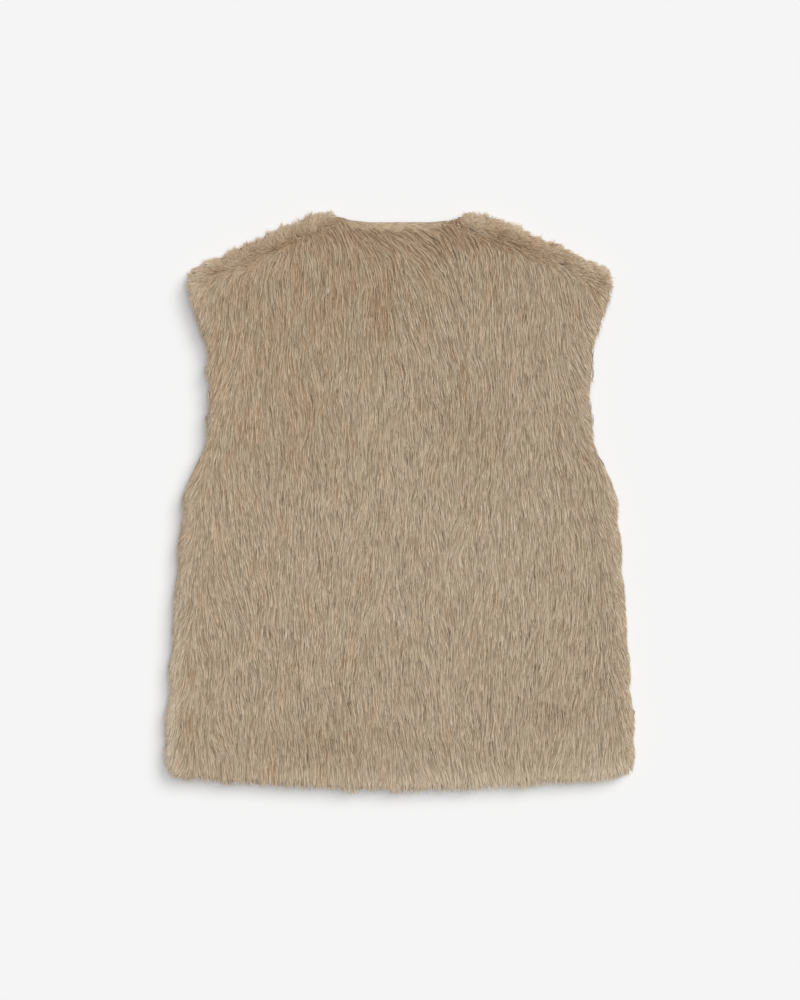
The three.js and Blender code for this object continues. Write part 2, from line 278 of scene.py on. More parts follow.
# %% Leans at the shoulders
SHOULDER_LEANS = {
    # distance from the middle, then the lean below the seam there, positive towards the arm
    -1: ([0.066, 0.080, 0.110, 0.143, 0.176, 0.235], [-52, -42, 8, 42, 58, 60]),
    1: ([0.066, 0.100, 0.154, 0.187, 0.235], [48, 60, 46, 62, 52]),
}
BAND_LEANS = {
    # the same on the bands beyond the seam, where the pile points out over the fold
    -1: ([0.062, 0.070, 0.080, 0.110, 0.200, 0.235], [255, 222, 190, 145, 125, 95]),
    1: ([0.062, 0.070, 0.080, 0.100, 0.200, 0.235], [255, 222, 178, 80, 72, 75]),
}
FOLD_LEANS = {-1: 25, 1: 60}  # degrees more at the fold itself
FOLD_PLACE, FOLD_REACH = 0.010, 0.009  # from the seam
FOLD_FROM = 0.085  # from the vest's middle; nearer the neck the fold adds nothing
PARTING_WAVER = 0.0028  # how far the parting strays from the seam
PARTING_HALF = 0.007  # the pile turns from one way to the other within this distance
SHOULDER_FADE = 0.014  # how far below the seam these leans fade out
SHOULDER_FROM = 0.8  # of the way out to the seam, from where these leans hold
print("leans at", sum(len(places) for places, _ in SHOULDER_LEANS.values()), "places below the seams")

# %% [markdown]
# ## Soft noise
# Nothing about fur is quite even: its nap, parting, tone and outline all waver. Blender has
# noise functions, but they take one point at a time, and this one is read at thousands. So it
# is a sum of slow sine waves in all directions, which numpy works out for all points at once.

# %% Soft noise
WAVES = 30
LONGER_STRONGER = 0.35  # a wave's strength grows with this power of its length


def soft_noise(seed, shortest, longest):
    """A field of slow waves in all directions, about one strong."""
    draw = np.random.default_rng(seed)
    turns, phases = draw.uniform(0, 2 * math.pi, (2, WAVES))
    lengths = np.geomspace(shortest, longest, WAVES)
    strength = lengths**LONGER_STRONGER
    shares = strength / math.sqrt((lengths ** (2 * LONGER_STRONGER)).sum() / 2)

    def field(x, y):
        total = 0
        for turn, phase, length, share in zip(turns, phases, lengths, shares):
            along = x * math.cos(turn) + y * math.sin(turn)
            total = total + share * np.sin(2 * math.pi * along / length + phase)
        return total

    return field


ripple = soft_noise(12, 0.016, 0.075)
parting_waves = soft_noise(34, 0.012, 0.050)
print(f"the ripple at the middle of the vest is {ripple(0, 0):.2f}")

# %% [markdown]
# ## Which way the pile points
# The lean at a place is the sum of all this. Along the sides and armholes the pile also sweeps
# out over the edge, by the distance from the solid's own side edge. The two sides of a parting
# are mixed as arrows and not as angles, so that they turn the short way round.

# %% Side edges
SIDE_NORMAL = 0.7  # points that look sideways at least this much draw the side edges


def side_line(node):
    """Along a solid's side edges: how far up, and how far out there."""
    points, normals = surfaces[node]["points"], surfaces[node]["normals"]
    edge = points[np.abs(normals[:, 0]) > SIDE_NORMAL]
    edge = edge[np.argsort(edge[:, 1])]
    return edge[:, 1], np.abs(edge[:, 0])


back_side = side_line(BACK)
print(f"the side edges of the back reach from {back_side[0][0]:.3f} to {back_side[0][-1]:.3f} m")

# %% Leans and arrows


def from_parting(x, y):
    """As from_seam, but for the uneven line where the pile parts."""
    return from_seam(x, y) + PARTING_WAVER * parting_waves(x, y)


def by_side(x, leans):
    """Lean from a table for each side, positive to +X."""
    left, right = (np.interp(np.abs(x), *leans[side]) for side in (-1, 1))
    return np.where(x < 0, -left, right)


def leaning(lean):
    """Unit vectors in plan for angles from straight towards the hem."""
    return np.stack([np.sin(lean), -np.cos(lean), np.zeros_like(lean)], axis=-1)


print("an arrow with a lean of 90 degrees is", np.round(leaning(math.radians(90)), 3))

# %% Nap direction
SIDE_SWEEP, SWEEP_REACH = 22, 0.020  # degrees outwards at the side edges, fading inwards
RIPPLE_LEAN = 5.2  # degrees
FADE_POWER = 1.5  # of the soft fades at the sides and below the shoulder seams


def nap_lean(x, y):
    """Lean of the nap in radians from straight towards the hem, positive to +X."""
    inwards = np.maximum(np.interp(y, *back_side) - np.abs(x), 0)
    lean = np.sign(x) * SIDE_SWEEP * np.exp(-((inwards / SWEEP_REACH) ** FADE_POWER))
    for place_x, place_y, across, along, degrees in NAP_PLACES:
        lean = lean + degrees * np.exp(
            -(((x - place_x) / across) ** 2) - ((y - place_y) / along) ** 2
        )
    lean = lean + RIPPLE_LEAN * ripple(x, y)
    seam = from_parting(x, y)
    beside = np.abs(x) > SEAM_AT_NECK[0] * SHOULDER_FROM
    on_shoulder = np.exp(-((np.maximum(seam, 0) / SHOULDER_FADE) ** FADE_POWER)) * beside
    below = np.radians(lean * (1 - on_shoulder) + by_side(x, SHOULDER_LEANS) * on_shoulder)
    beyond = np.clip(0.5 - seam / (2 * PARTING_HALF), 0, 1) * beside
    at_fold = np.clip((-seam - FOLD_PLACE) / FOLD_REACH, 0, 1)
    at_fold = at_fold * (np.abs(x) > FOLD_FROM)
    fold = np.where(x < 0, -FOLD_LEANS[-1], FOLD_LEANS[1]) * at_fold
    band = np.radians(by_side(x, BAND_LEANS) + fold)
    both = leaning(below) * (1 - beyond)[..., None] + leaning(band) * beyond[..., None]
    return np.arctan2(both[..., 0], -both[..., 1])


neck_lean = math.degrees(nap_lean(np.float64(0), np.float64(0.3)))
print("lean at the back neck", round(neck_lean), "degrees")

# %% [markdown]
# ## Colours of the pile
# All of the pile is one sandy beige, but no two wisps are the same: some are darker, some more
# pink or more olive, and every wisp is deeper at its root and paler at its tip. Each could have
# its own colour in a vertex attribute. Here they share a texture map instead, with all kinds of
# wisp drawn side by side: across lie the kinds, up lies the way from root to tip. A ribbon
# covers one kind from edge to edge, so it can be darker along its edges as painted shade for
# the gaps between wisps, and the whole pile shares one small map. A node group draws the map.

# %% A node group for the colour of the pile
PILE_MAP = "OFBake"
TINT_KINDS = 3
TONE_KINDS = 11
KINDS = TINT_KINDS * TONE_KINDS


def add_node(tree, kind, x, y, values=None, **settings):
    """A node at x, y with these values on its inputs and these settings."""
    node = tree.nodes.new(kind)
    node.location = (x, y)
    for name, setting in settings.items():
        setattr(node, name, setting)
    for socket, value in (values or {}).items():
        node.inputs[socket].default_value = value
    return node


pile_colour = bpy.data.node_groups.new("pile_colour", "ShaderNodeTree")
sockets = pile_colour.interface
for name in ("Across", "Way", "Edge shade"):
    sockets.new_socket(name, in_out="INPUT", socket_type="NodeSocketFloat")
for name in ("Root colour", "Middle colour", "Tip colour"):
    sockets.new_socket(name, in_out="INPUT", socket_type="NodeSocketColor")
sockets.new_socket("Colour", in_out="OUTPUT", socket_type="NodeSocketColor")
sockets.new_socket("Roughness", in_out="OUTPUT", socket_type="NodeSocketFloat")
into = add_node(pile_colour, "NodeGroupInput", -1300, 0)
out = add_node(pile_colour, "NodeGroupOutput", 900, 0)
join = pile_colour.links.new
print("the group has", len(sockets.items_tree), "sockets")

# %% [markdown]
# ## From root to tip
# Light reaches the tips of fur and hardly its roots, and many faux furs are also paler at the
# tip. Two mixes in a row take the colour from the root over the middle to the tip.

# %% Colours along a wisp
MIDDLE_AT = 0.55  # of the way up, where the middle colour lies

lower = add_node(pile_colour, "ShaderNodeMix", -400, 300, data_type="RGBA")
lower_share = add_node(pile_colour, "ShaderNodeMapRange", -650, 300, {"From Max": MIDDLE_AT})
upper = add_node(pile_colour, "ShaderNodeMix", -150, 200, data_type="RGBA")
upper_share = add_node(pile_colour, "ShaderNodeMapRange", -400, 50, {"From Min": MIDDLE_AT})
join(into.outputs["Way"], lower_share.inputs["Value"])
join(lower_share.outputs["Result"], lower.inputs["Factor"])
join(into.outputs["Root colour"], lower.inputs["A"])
join(into.outputs["Middle colour"], lower.inputs["B"])
join(into.outputs["Way"], upper_share.inputs["Value"])
join(upper_share.outputs["Result"], upper.inputs["Factor"])
join(lower.outputs["Result"], upper.inputs["A"])
join(into.outputs["Tip colour"], upper.inputs["B"])
print("the middle colour lies at", MIDDLE_AT)

# %% [markdown]
# ## Kinds of wisp
# Across the map lie warm and pinkish kinds, then plain ones, then olive ones, each set from
# dark to light. The whole part of the place across is the kind and takes its tint from a ramp.
# The rest of it is the place inside the kind, from one edge of the ribbon to the other.

# %% Tints of the kinds
TINTS = [
    # place across, then the share of red, green and blue
    (0.000, (0.635, 0.505, 0.40)),
    (0.325, (1.275, 1.278, 1.295)),
    (0.335, (0.597, 0.517, 0.42)),
    (0.665, (1.257, 1.297, 1.372)),
    (0.675, (0.588, 0.521, 0.412)),
    (1.000, (1.245, 1.301, 1.335)),
]


def set_ramp(ramp, stops):
    """Colour stops as (place, (red, green, blue)), in linear light."""
    while len(ramp.elements) > 1:
        ramp.elements.remove(ramp.elements[0])
    ramp.elements[0].position = stops[0][0]
    ramp.elements[0].color = (*stops[0][1], 1)
    for place, colour in stops[1:]:
        ramp.elements.new(place).color = (*colour, 1)


def math_node(x, y, operation, value=None):
    """A math node in the group, with its second value if it has one."""
    values = {} if value is None else {1: value}
    return add_node(pile_colour, "ShaderNodeMath", x, y, values, operation=operation)


spread = math_node(-1100, -200, "MULTIPLY", KINDS)
kind = math_node(-900, -100, "FLOOR")
kind_place = math_node(-700, -100, "MULTIPLY", 1 / (KINDS - 1))
inside = math_node(-900, -300, "FRACT")
off_middle = math_node(-700, -300, "SUBTRACT", 0.5)
from_middle = math_node(-520, -300, "ABSOLUTE")
join(into.outputs["Across"], spread.inputs[0])
join(spread.outputs["Value"], kind.inputs[0])
join(kind.outputs["Value"], kind_place.inputs[0])
join(spread.outputs["Value"], inside.inputs[0])
join(inside.outputs["Value"], off_middle.inputs[0])
join(off_middle.outputs["Value"], from_middle.inputs[0])
tint = add_node(pile_colour, "ShaderNodeValToRGB", -450, -80)
set_ramp(tint.color_ramp, TINTS)
join(kind_place.outputs["Value"], tint.inputs["Fac"])
print(KINDS, "kinds of wisp,", len(TINTS), "colour stops")

# %% [markdown]
# ## Edges and single hairs
# A wisp darkens towards its edges, painted shade for the gaps between wisps. Inside it single
# hairs show as faint streaks, which come from a noise that is stretched along the way.

# %% Edges and single hairs
EDGE_SHADE_FROM = 0.15  # from the middle of a wisp, where its painted edge shade starts, and 0.5 is its edge
HAIR_NOISE = (0.3, 0.7)  # levels of the noise that become the deepest and the palest hair
HAIR_TONES = (0.86, 1.12)
HAIRS_ACROSS, HAIRS_ALONG = 3.1, 2.0  # noise cells in a kind, across and along

# painted shade: a wisp darkens towards its edges, for the gaps between wisps
edge = add_node(pile_colour, "ShaderNodeMapRange", -300, -350, {
    "From Min": EDGE_SHADE_FROM, "From Max": 0.5, "To Min": 1,
})
join(from_middle.outputs["Value"], edge.inputs["Value"])
join(into.outputs["Edge shade"], edge.inputs["To Max"])
lay = add_node(pile_colour, "ShaderNodeCombineXYZ", -900, -550)
hairs = add_node(pile_colour, "ShaderNodeTexNoise", -700, -550, {"Scale": 1, "Detail": 1})
hair_tone = add_node(pile_colour, "ShaderNodeMapRange", -450, -550, {
    "From Min": HAIR_NOISE[0], "From Max": HAIR_NOISE[1],
    "To Min": HAIR_TONES[0], "To Max": HAIR_TONES[1],
})
stretch = math_node(-1100, -450, "MULTIPLY", HAIRS_ACROSS)
reach = math_node(-1100, -620, "MULTIPLY", HAIRS_ALONG)
join(spread.outputs["Value"], stretch.inputs[0])
join(into.outputs["Way"], reach.inputs[0])
join(stretch.outputs["Value"], lay.inputs["X"])
join(reach.outputs["Value"], lay.inputs["Y"])
join(lay.outputs["Vector"], hairs.inputs["Vector"])
join(hairs.outputs["Fac"], hair_tone.inputs["Value"])
print("single hairs vary from", HAIR_TONES[0], "to", HAIR_TONES[1])

# %% [markdown]
# ## Colour and roughness
# The colour along the wisp is multiplied by the tint of its kind, and then by the painted shade
# of its edges and the tone of its hairs. Tips are smoother than roots, so they gleam a little.

# %% What the group gives
ROUGHNESS = (0.85, 0.6)  # at the root and at the tip

# the painted shade of the edges times the tone of the single hairs
depth = math_node(-100, -400, "MULTIPLY")
join(edge.outputs["Result"], depth.inputs[0])
join(hair_tone.outputs["Result"], depth.inputs[1])
times = {"data_type": "RGBA", "blend_type": "MULTIPLY"}
tinted = add_node(pile_colour, "ShaderNodeMix", 200, 200, {"Factor": 1}, **times)
shaded = add_node(pile_colour, "ShaderNodeMix", 450, 200, {"Factor": 1}, **times)
join(upper.outputs["Result"], tinted.inputs["A"])
join(tint.outputs["Color"], tinted.inputs["B"])
join(tinted.outputs["Result"], shaded.inputs["A"])
join(depth.outputs["Value"], shaded.inputs["B"])
join(shaded.outputs["Result"], out.inputs["Colour"])
gloss = add_node(pile_colour, "ShaderNodeMapRange", 200, -200, {
    "To Min": ROUGHNESS[0], "To Max": ROUGHNESS[1],
})
join(into.outputs["Way"], gloss.inputs["Value"])
join(gloss.outputs["Result"], out.inputs["Roughness"])
print("group", pile_colour.name, "has", len(pile_colour.nodes), "nodes")

# %% [markdown]
# ## Pile materials
# Acrylic pile is soft and almost matt, with a faint gleam along each strand. Blender has a
# shader for hair, but it can't leave with a plain mesh. A Principled shader with a low
# specular level and a little sheen looks much the same. The undercoat is deeper in colour,
# because little light reaches it.

# %% Materials of the pile
PILE_VALUES = {
    "IOR": 1.45,
    "Specular IOR Level": 0.25,
    "Sheen Weight": 0.12,
    "Sheen Roughness": 0.5,
}


def pile_material(name, edge, root, middle, tip):
    """A pile with these colours from root to tip, `edge` times as pale at a wisp's edges, as painted
    shade.
    """
    material, tree, shader = new_material(name, PILE_VALUES)
    place = add_node(tree, "ShaderNodeUVMap", -900, 0, uv_map=PILE_MAP)
    split = add_node(tree, "ShaderNodeSeparateXYZ", -700, 0)
    colour = add_node(tree, "ShaderNodeGroup", -400, 0, node_tree=pile_colour)
    tree.links.new(place.outputs["UV"], split.inputs["Vector"])
    tree.links.new(split.outputs["X"], colour.inputs["Across"])
    tree.links.new(split.outputs["Y"], colour.inputs["Way"])
    colour.inputs["Edge shade"].default_value = edge
    for socket, tone in (("Root colour", root), ("Middle colour", middle), ("Tip colour", tip)):
        colour.inputs[socket].default_value = (*tone, 1)
    tree.links.new(colour.outputs["Colour"], shader.inputs["Base Color"])
    tree.links.new(colour.outputs["Roughness"], shader.inputs["Roughness"])
    return material


# edge: the share of its colour that the painted shade leaves at a wisp's edges
guard_pile = pile_material(
    "guard_pile", edge=0.62,
    root=(0.405, 0.318, 0.213), middle=(0.54, 0.43, 0.30), tip=(0.62, 0.503, 0.362),
)
under_pile = pile_material(
    "under_pile", edge=0.75,
    root=(0.37, 0.285, 0.187), middle=(0.515, 0.406, 0.28), tip=(0.58, 0.466, 0.328),
)
print("materials", guard_pile.name, under_pile.name)

# %% [markdown]
# ## The dense undercoat
# Fur fabric is a knitted ground with pile standing in it. Between the long strands the eye
# meets short dense hairs in the shade. They could be strands too, but they only show in
# chinks, so a stretched noise gives their streaks and a bump gives their relief.

# %% Material of the undercoat
UNDERCOAT_STREAKS = (1, 0.09, 1)  # the noise is drawn out from neck to hem
UNDERCOAT_TONES = [(0.3, (0.27, 0.20, 0.13)), (0.7, (0.42, 0.325, 0.215))]


def undercoat_material():
    """Dull streaks along the vest, with relief."""
    values = {"Roughness": 0.9, "Specular IOR Level": 0.15}
    material, tree, shader = new_material("undercoat", values)
    link = tree.links.new
    place = add_node(tree, "ShaderNodeTexCoord", -1100, 0)
    stretch = add_node(tree, "ShaderNodeMapping", -900, 0, {"Scale": UNDERCOAT_STREAKS})
    hairs = add_node(tree, "ShaderNodeTexNoise", -700, 0, {"Scale": 700, "Detail": 3})
    tones = add_node(tree, "ShaderNodeValToRGB", -450, 100)
    set_ramp(tones.color_ramp, UNDERCOAT_TONES)
    relief = add_node(tree, "ShaderNodeBump", -200, -200, {"Distance": 0.002, "Strength": 0.7})
    link(place.outputs["Object"], stretch.inputs["Vector"])
    link(stretch.outputs["Vector"], hairs.inputs["Vector"])
    link(hairs.outputs["Fac"], tones.inputs["Fac"])
    link(tones.outputs["Color"], shader.inputs["Base Color"])
    link(hairs.outputs["Fac"], relief.inputs["Height"])
    link(relief.outputs["Normal"], shader.inputs["Normal"])
    return material


undercoat = undercoat_material()
print("material", undercoat.name)

# %% [markdown]
# ## The knitted back of the cloth
# Inside the vest the bare back of the cloth shows: fine knitted ribs with small stitches along
# them. Modelled stitches would cost thousands of faces that hardly anyone sees. Two wave
# textures at right angles, multiplied, give both the ribs and the rows.

# %% Material of the knitted back
KNIT_TONES = [(0.0, (0.34, 0.27, 0.185)), (0.6, (0.52, 0.43, 0.31))]


def knit_material():
    """Ribs that run up the vest, crossed by rows of stitches."""
    values = {"Roughness": 0.85, "Specular IOR Level": 0.2}
    material, tree, shader = new_material("knitted_back", values)
    link = tree.links.new
    place = add_node(tree, "ShaderNodeTexCoord", -1100, 0)
    ribs = add_node(tree, "ShaderNodeTexWave", -800, 100, {"Scale": 260}, bands_direction="X")
    rows_look = {"Scale": 340, "Distortion": 1.5}
    rows = add_node(tree, "ShaderNodeTexWave", -800, -200, rows_look, bands_direction="Y")
    stitch = add_node(tree, "ShaderNodeMath", -550, 0, operation="MULTIPLY")
    tones = add_node(tree, "ShaderNodeValToRGB", -350, 100)
    set_ramp(tones.color_ramp, KNIT_TONES)
    relief = add_node(tree, "ShaderNodeBump", -200, -200, {"Distance": 0.0004})
    link(place.outputs["Object"], ribs.inputs["Vector"])
    link(place.outputs["Object"], rows.inputs["Vector"])
    link(ribs.outputs["Fac"], stitch.inputs[0])
    link(rows.outputs["Fac"], stitch.inputs[1])
    link(stitch.outputs["Value"], tones.inputs["Fac"])
    link(tones.outputs["Color"], shader.inputs["Base Color"])
    link(stitch.outputs["Value"], relief.inputs["Height"])
    link(relief.outputs["Normal"], shader.inputs["Normal"])
    return material


knitted_back = knit_material()
print("material", knitted_back.name)

# %% [markdown]
# ## The neck's ends of the shoulder bands
# In the solids each band ends in a corner at the neck, with a notch beside it. The pile softens
# both: it draws the corner down and lifts the neck edge next to it, so that one slopes into the
# other. Hairs that stand up over the neck edge are pressed down to it, more and more away from
# the bands. All points near there, of cloth and strands alike, are eased by the same rules.

# %% Eased corners
CORNERS = [
    # from the middle, up, width across, width up and down, shift
    (0.066, 0.320, 0.0090, 0.0085, -0.0058),
    (0.064, 0.305, 0.0080, 0.0080, 0.0065),
]
NECK_LINE = ([0, 0.034, 0.051, 0.0665], [0.3065, 0.3065, 0.308, 0.3033])  # out, then up
PRESSED = 0.8  # share of the height over the neck edge that goes
PRESS_REACH = 0.012  # from a band's end to where all of that share goes


def eased(points):
    """The points with those near the corners and notches shifted and stray ones pressed down."""
    x, y = np.abs(points[:, 0]), points[:, 1].copy()
    over = np.maximum(y - np.interp(x, *NECK_LINE), 0)
    points[:, 1] -= PRESSED * over * np.clip((SEAM_AT_NECK[0] - x) / PRESS_REACH, 0, 1)
    for at_x, at_y, across, upright, shift in CORNERS:
        share = np.exp(-(((x - at_x) / across) ** 2) - ((y - at_y) / upright) ** 2)
        points[:, 1] += shift * share
    return points


print(len(CORNERS), "places at each end of the neck are eased")

# %% [markdown]
# ## The walls of cloth
# The cloth itself is about as thick as the solids once the long strands are taken off. It could
# be the solid as it is, but then its smooth sides would show between the strands. So each wall
# is the solid drawn in a little on every side, with its faces divided and its outer side raised
# in shallow locks. Outside it is undercoat, and inside the knitted back.

# %% Faces divided


def divided(points, faces):
    """Every triangle as four, with shared points at the middle of each side."""
    sides = np.sort(faces[:, [0, 1, 1, 2, 2, 0]].reshape(-1, 2), axis=1)
    pairs, place = np.unique(sides, axis=0, return_inverse=True)
    middle = place.reshape(-1, 3) + len(points)
    points = np.concatenate([points, points[pairs].mean(1)])
    a, b, c = faces.T
    ab, bc, ca = middle.T
    quarters = [(a, ab, ca), (ab, b, bc), (ca, bc, c), (ab, bc, ca)]
    return points, np.concatenate([np.stack(q, axis=1) for q in quarters])


_, quarters = divided(np.eye(3), np.array([[0, 1, 2]]))
print("one face becomes", len(quarters))

# %% Walls
DRAWN_IN = np.array([0.9855, 0.9875, 0.70])  # share of the solid's width, length and height
LOCK_RAISED = 0.0006  # height of the shallow locks on the outer side
LOCKS_ACROSS, LOCKS_ALONG = 900, 300  # waves of the raised locks, in radians for each metre
LOCK_SWAY, SWAY_ALONG = 3, 130  # how far they sway from side to side, and how often


def wall(node):
    """The wall of one solid, with the undercoat outside and the knitted back inside."""
    surface = surfaces[node]
    points, faces = divided(surface["points"], surface["faces"])
    bare = np.tile(~surface["furred"], 4)
    centre = np.array([0, 0, HALF_HEIGHT])
    points = centre + (points - centre) * DRAWN_IN
    outer = np.abs(points[:, 2] - HALF_HEIGHT) > SLIT_HALF
    x, y = points[:, 0], points[:, 1]
    sway = LOCK_SWAY * np.sin(y * SWAY_ALONG)
    wave = np.sin(x * LOCKS_ACROSS + sway) * np.sin(y * LOCKS_ALONG)
    points[:, 2] += LOCK_RAISED * wave * outer * np.sign(points[:, 2] - HALF_HEIGHT)
    mesh = bpy.data.meshes.new(node + "_cloth")
    mesh.from_pydata(eased(points).tolist(), [], faces.tolist())
    mesh.materials.append(undercoat)
    mesh.materials.append(knitted_back)
    mesh.polygons.foreach_set("material_index", bare.astype(np.int32))
    mesh.polygons.foreach_set("use_smooth", np.ones(len(faces), bool))
    piece = bpy.data.objects.new(node + "_cloth", mesh)
    scene.collection.objects.link(piece)
    print(piece.name, len(faces), "triangles")
    return piece


walls = {node: wall(node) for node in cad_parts}

# %% [markdown]
# ## Locks and strands
# Real pile gathers in locks, a few hairs that lie side by side and go the same way. So the
# places of the lock tips are drawn first, evenly over the furred faces, and each lock gets its
# own direction, length and tone. Then each takes from two to eight strands. Blender's nodes
# can scatter points too, but all the rest is worked out in numpy arrays, and so are these.
# Because tips lie on the solid, the outline stays true.

# %% Places for the locks


def scatter(surface, spacing, keep, random):
    """Even random places on the furred faces, `keep` times as many on some of them."""
    weight = surface["area"] * surface["furred"]
    middle = surface["points"][surface["faces"]].mean(1)
    normal = unit(surface["normals"][surface["faces"]].mean(1))
    weight = weight * keep(middle, normal)
    total = weight.sum()
    count = int(total / spacing**2)
    steps = (np.arange(count) + random.random(count)) / count * total
    face = np.minimum(np.searchsorted(np.cumsum(weight), steps), len(weight) - 1)
    a, b = random.random((2, count))
    over = a + b > 1
    a[over], b[over] = 1 - a[over], 1 - b[over]
    share = np.stack([1 - a - b, a, b], axis=1)[..., None]
    corners = surface["faces"][face]
    points = (surface["points"][corners] * share).sum(1)
    normals = unit((surface["normals"][corners] * share).sum(1))
    return points, normals


some_tips, _ = scatter(surfaces[BACK], 0.05, lambda points, normals: 1, np.random.default_rng(1))
print("at 50 mm apart the back would have", len(some_tips), "locks")

# %% [markdown]
# ## The skin
# Locks have to follow the cloth, also round its edges and across the seams. All furred faces
# of the three solids make one skin, and a tree of them finds the nearest place on it.

# %% The skin of all furred faces
from mathutils.bvhtree import BVHTree

skin_points = np.concatenate([surface["points"] for surface in surfaces.values()])
skin_normals = np.concatenate([surface["normals"] for surface in surfaces.values()])
skin_faces, passed = [], 0
for surface in surfaces.values():
    skin_faces.append(surface["faces"][surface["furred"]] + passed)
    passed += len(surface["points"])
skin_faces = np.concatenate(skin_faces)
skin_tree = BVHTree.FromPolygons(skin_points.tolist(), skin_faces.tolist())
print("the skin has", len(skin_faces), "faces")


def nearest_skin(places):
    """The furred place nearest to each given one, and the smooth normal there."""
    found = [skin_tree.find_nearest(place) for place in places.tolist()]
    near = np.array([place[:] for place, _, _, _ in found])
    corners = skin_faces[[face for _, _, face, _ in found]]
    a, b, c = skin_points[corners].transpose(1, 0, 2)
    whole = np.cross(b - a, c - a)
    parts = [np.cross(c - b, near - b), np.cross(a - c, near - c), np.cross(b - a, near - a)]
    share = np.stack([np.maximum((part * whole).sum(1), 1e-15) for part in parts], axis=1)
    share = share / share.sum(1, keepdims=True)
    return near, unit((skin_normals[corners] * share[..., None]).sum(1))

# %% [markdown]
# ## Locks that follow the cloth
# Each lock starts at its tip on the solid and is traced backwards against the nap, a step at a
# time. After every step its place is brought back to the skin, so the roots stay on the cloth
# at the neck and armholes, and locks lie across the shoulder seams and hide them. Where the
# cloth turns down along the nap, as at the hem, a lock bends down less than the cloth does and
# so passes just under its surface, the way cut pile ends in a thick soft brush. Where the
# cloth faces against the nap, the root dives into it.

# %% Lock lines
TRACE_STEPS = 5
DROOP = 0.55  # how far locks bend with the cloth where it falls away along the nap
DEEPEST = 0.0045  # under the skin
EDGE_STOP = (-0.9, -0.4)  # the skin faces against the nap: no step, and a whole step
TURN_STOP = (-0.2, 0.4)  # the nap turns back, as at a parting: no step, and a whole step
EDGE_DIVE = 0.15  # share of a step that goes into the cloth at an edge instead
TURN_DIVE = 0.03  # the same at a parting


def lock_lines(tip, normal, stray, length):
    """Places and normals along each lock, from its tip back to its root."""
    place, line, normals = tip, [tip], [normal]
    before = leaning(nap_lean(tip[:, 0], tip[:, 1]) + stray)
    for _ in range(TRACE_STEPS):
        nap = leaning(nap_lean(place[:, 0], place[:, 1]) + stray)
        outward = (nap * normal).sum(1, keepdims=True)
        heading = unit(nap - normal * outward * np.where(outward > 0, DROOP, 1))
        step = (length / TRACE_STEPS)[:, None]
        same_way = (nap * before).sum(1, keepdims=True)
        past_edge = 1 - np.interp(outward, EDGE_STOP, (0, 1))
        past_turn = 1 - np.interp(same_way, TURN_STOP, (0, 1))
        free = (1 - past_edge) * (1 - past_turn)
        before = np.where(free > 0.5, nap, before)
        dive = np.maximum(EDGE_DIVE * past_edge, TURN_DIVE * past_turn)
        ahead = place - step * (heading * free + normal * dive)
        near, normal = nearest_skin(ahead)
        height = ((ahead - near) * normal).sum(1, keepdims=True)
        place = near + normal * np.clip(height, -DEEPEST, 0)
        line.append(place)
        normals.append(normal)
    return np.array(line), np.array(normals)


at_hem = np.array([[0.0, -0.3, 2 * HALF_HEIGHT]])
hem_line, _ = lock_lines(at_hem, np.array([[0, 0, 1.0]]), np.zeros(1), np.array([0.02]))
print("a lock of 20 mm at the hem starts at", np.round(hem_line[-1, 0], 4))
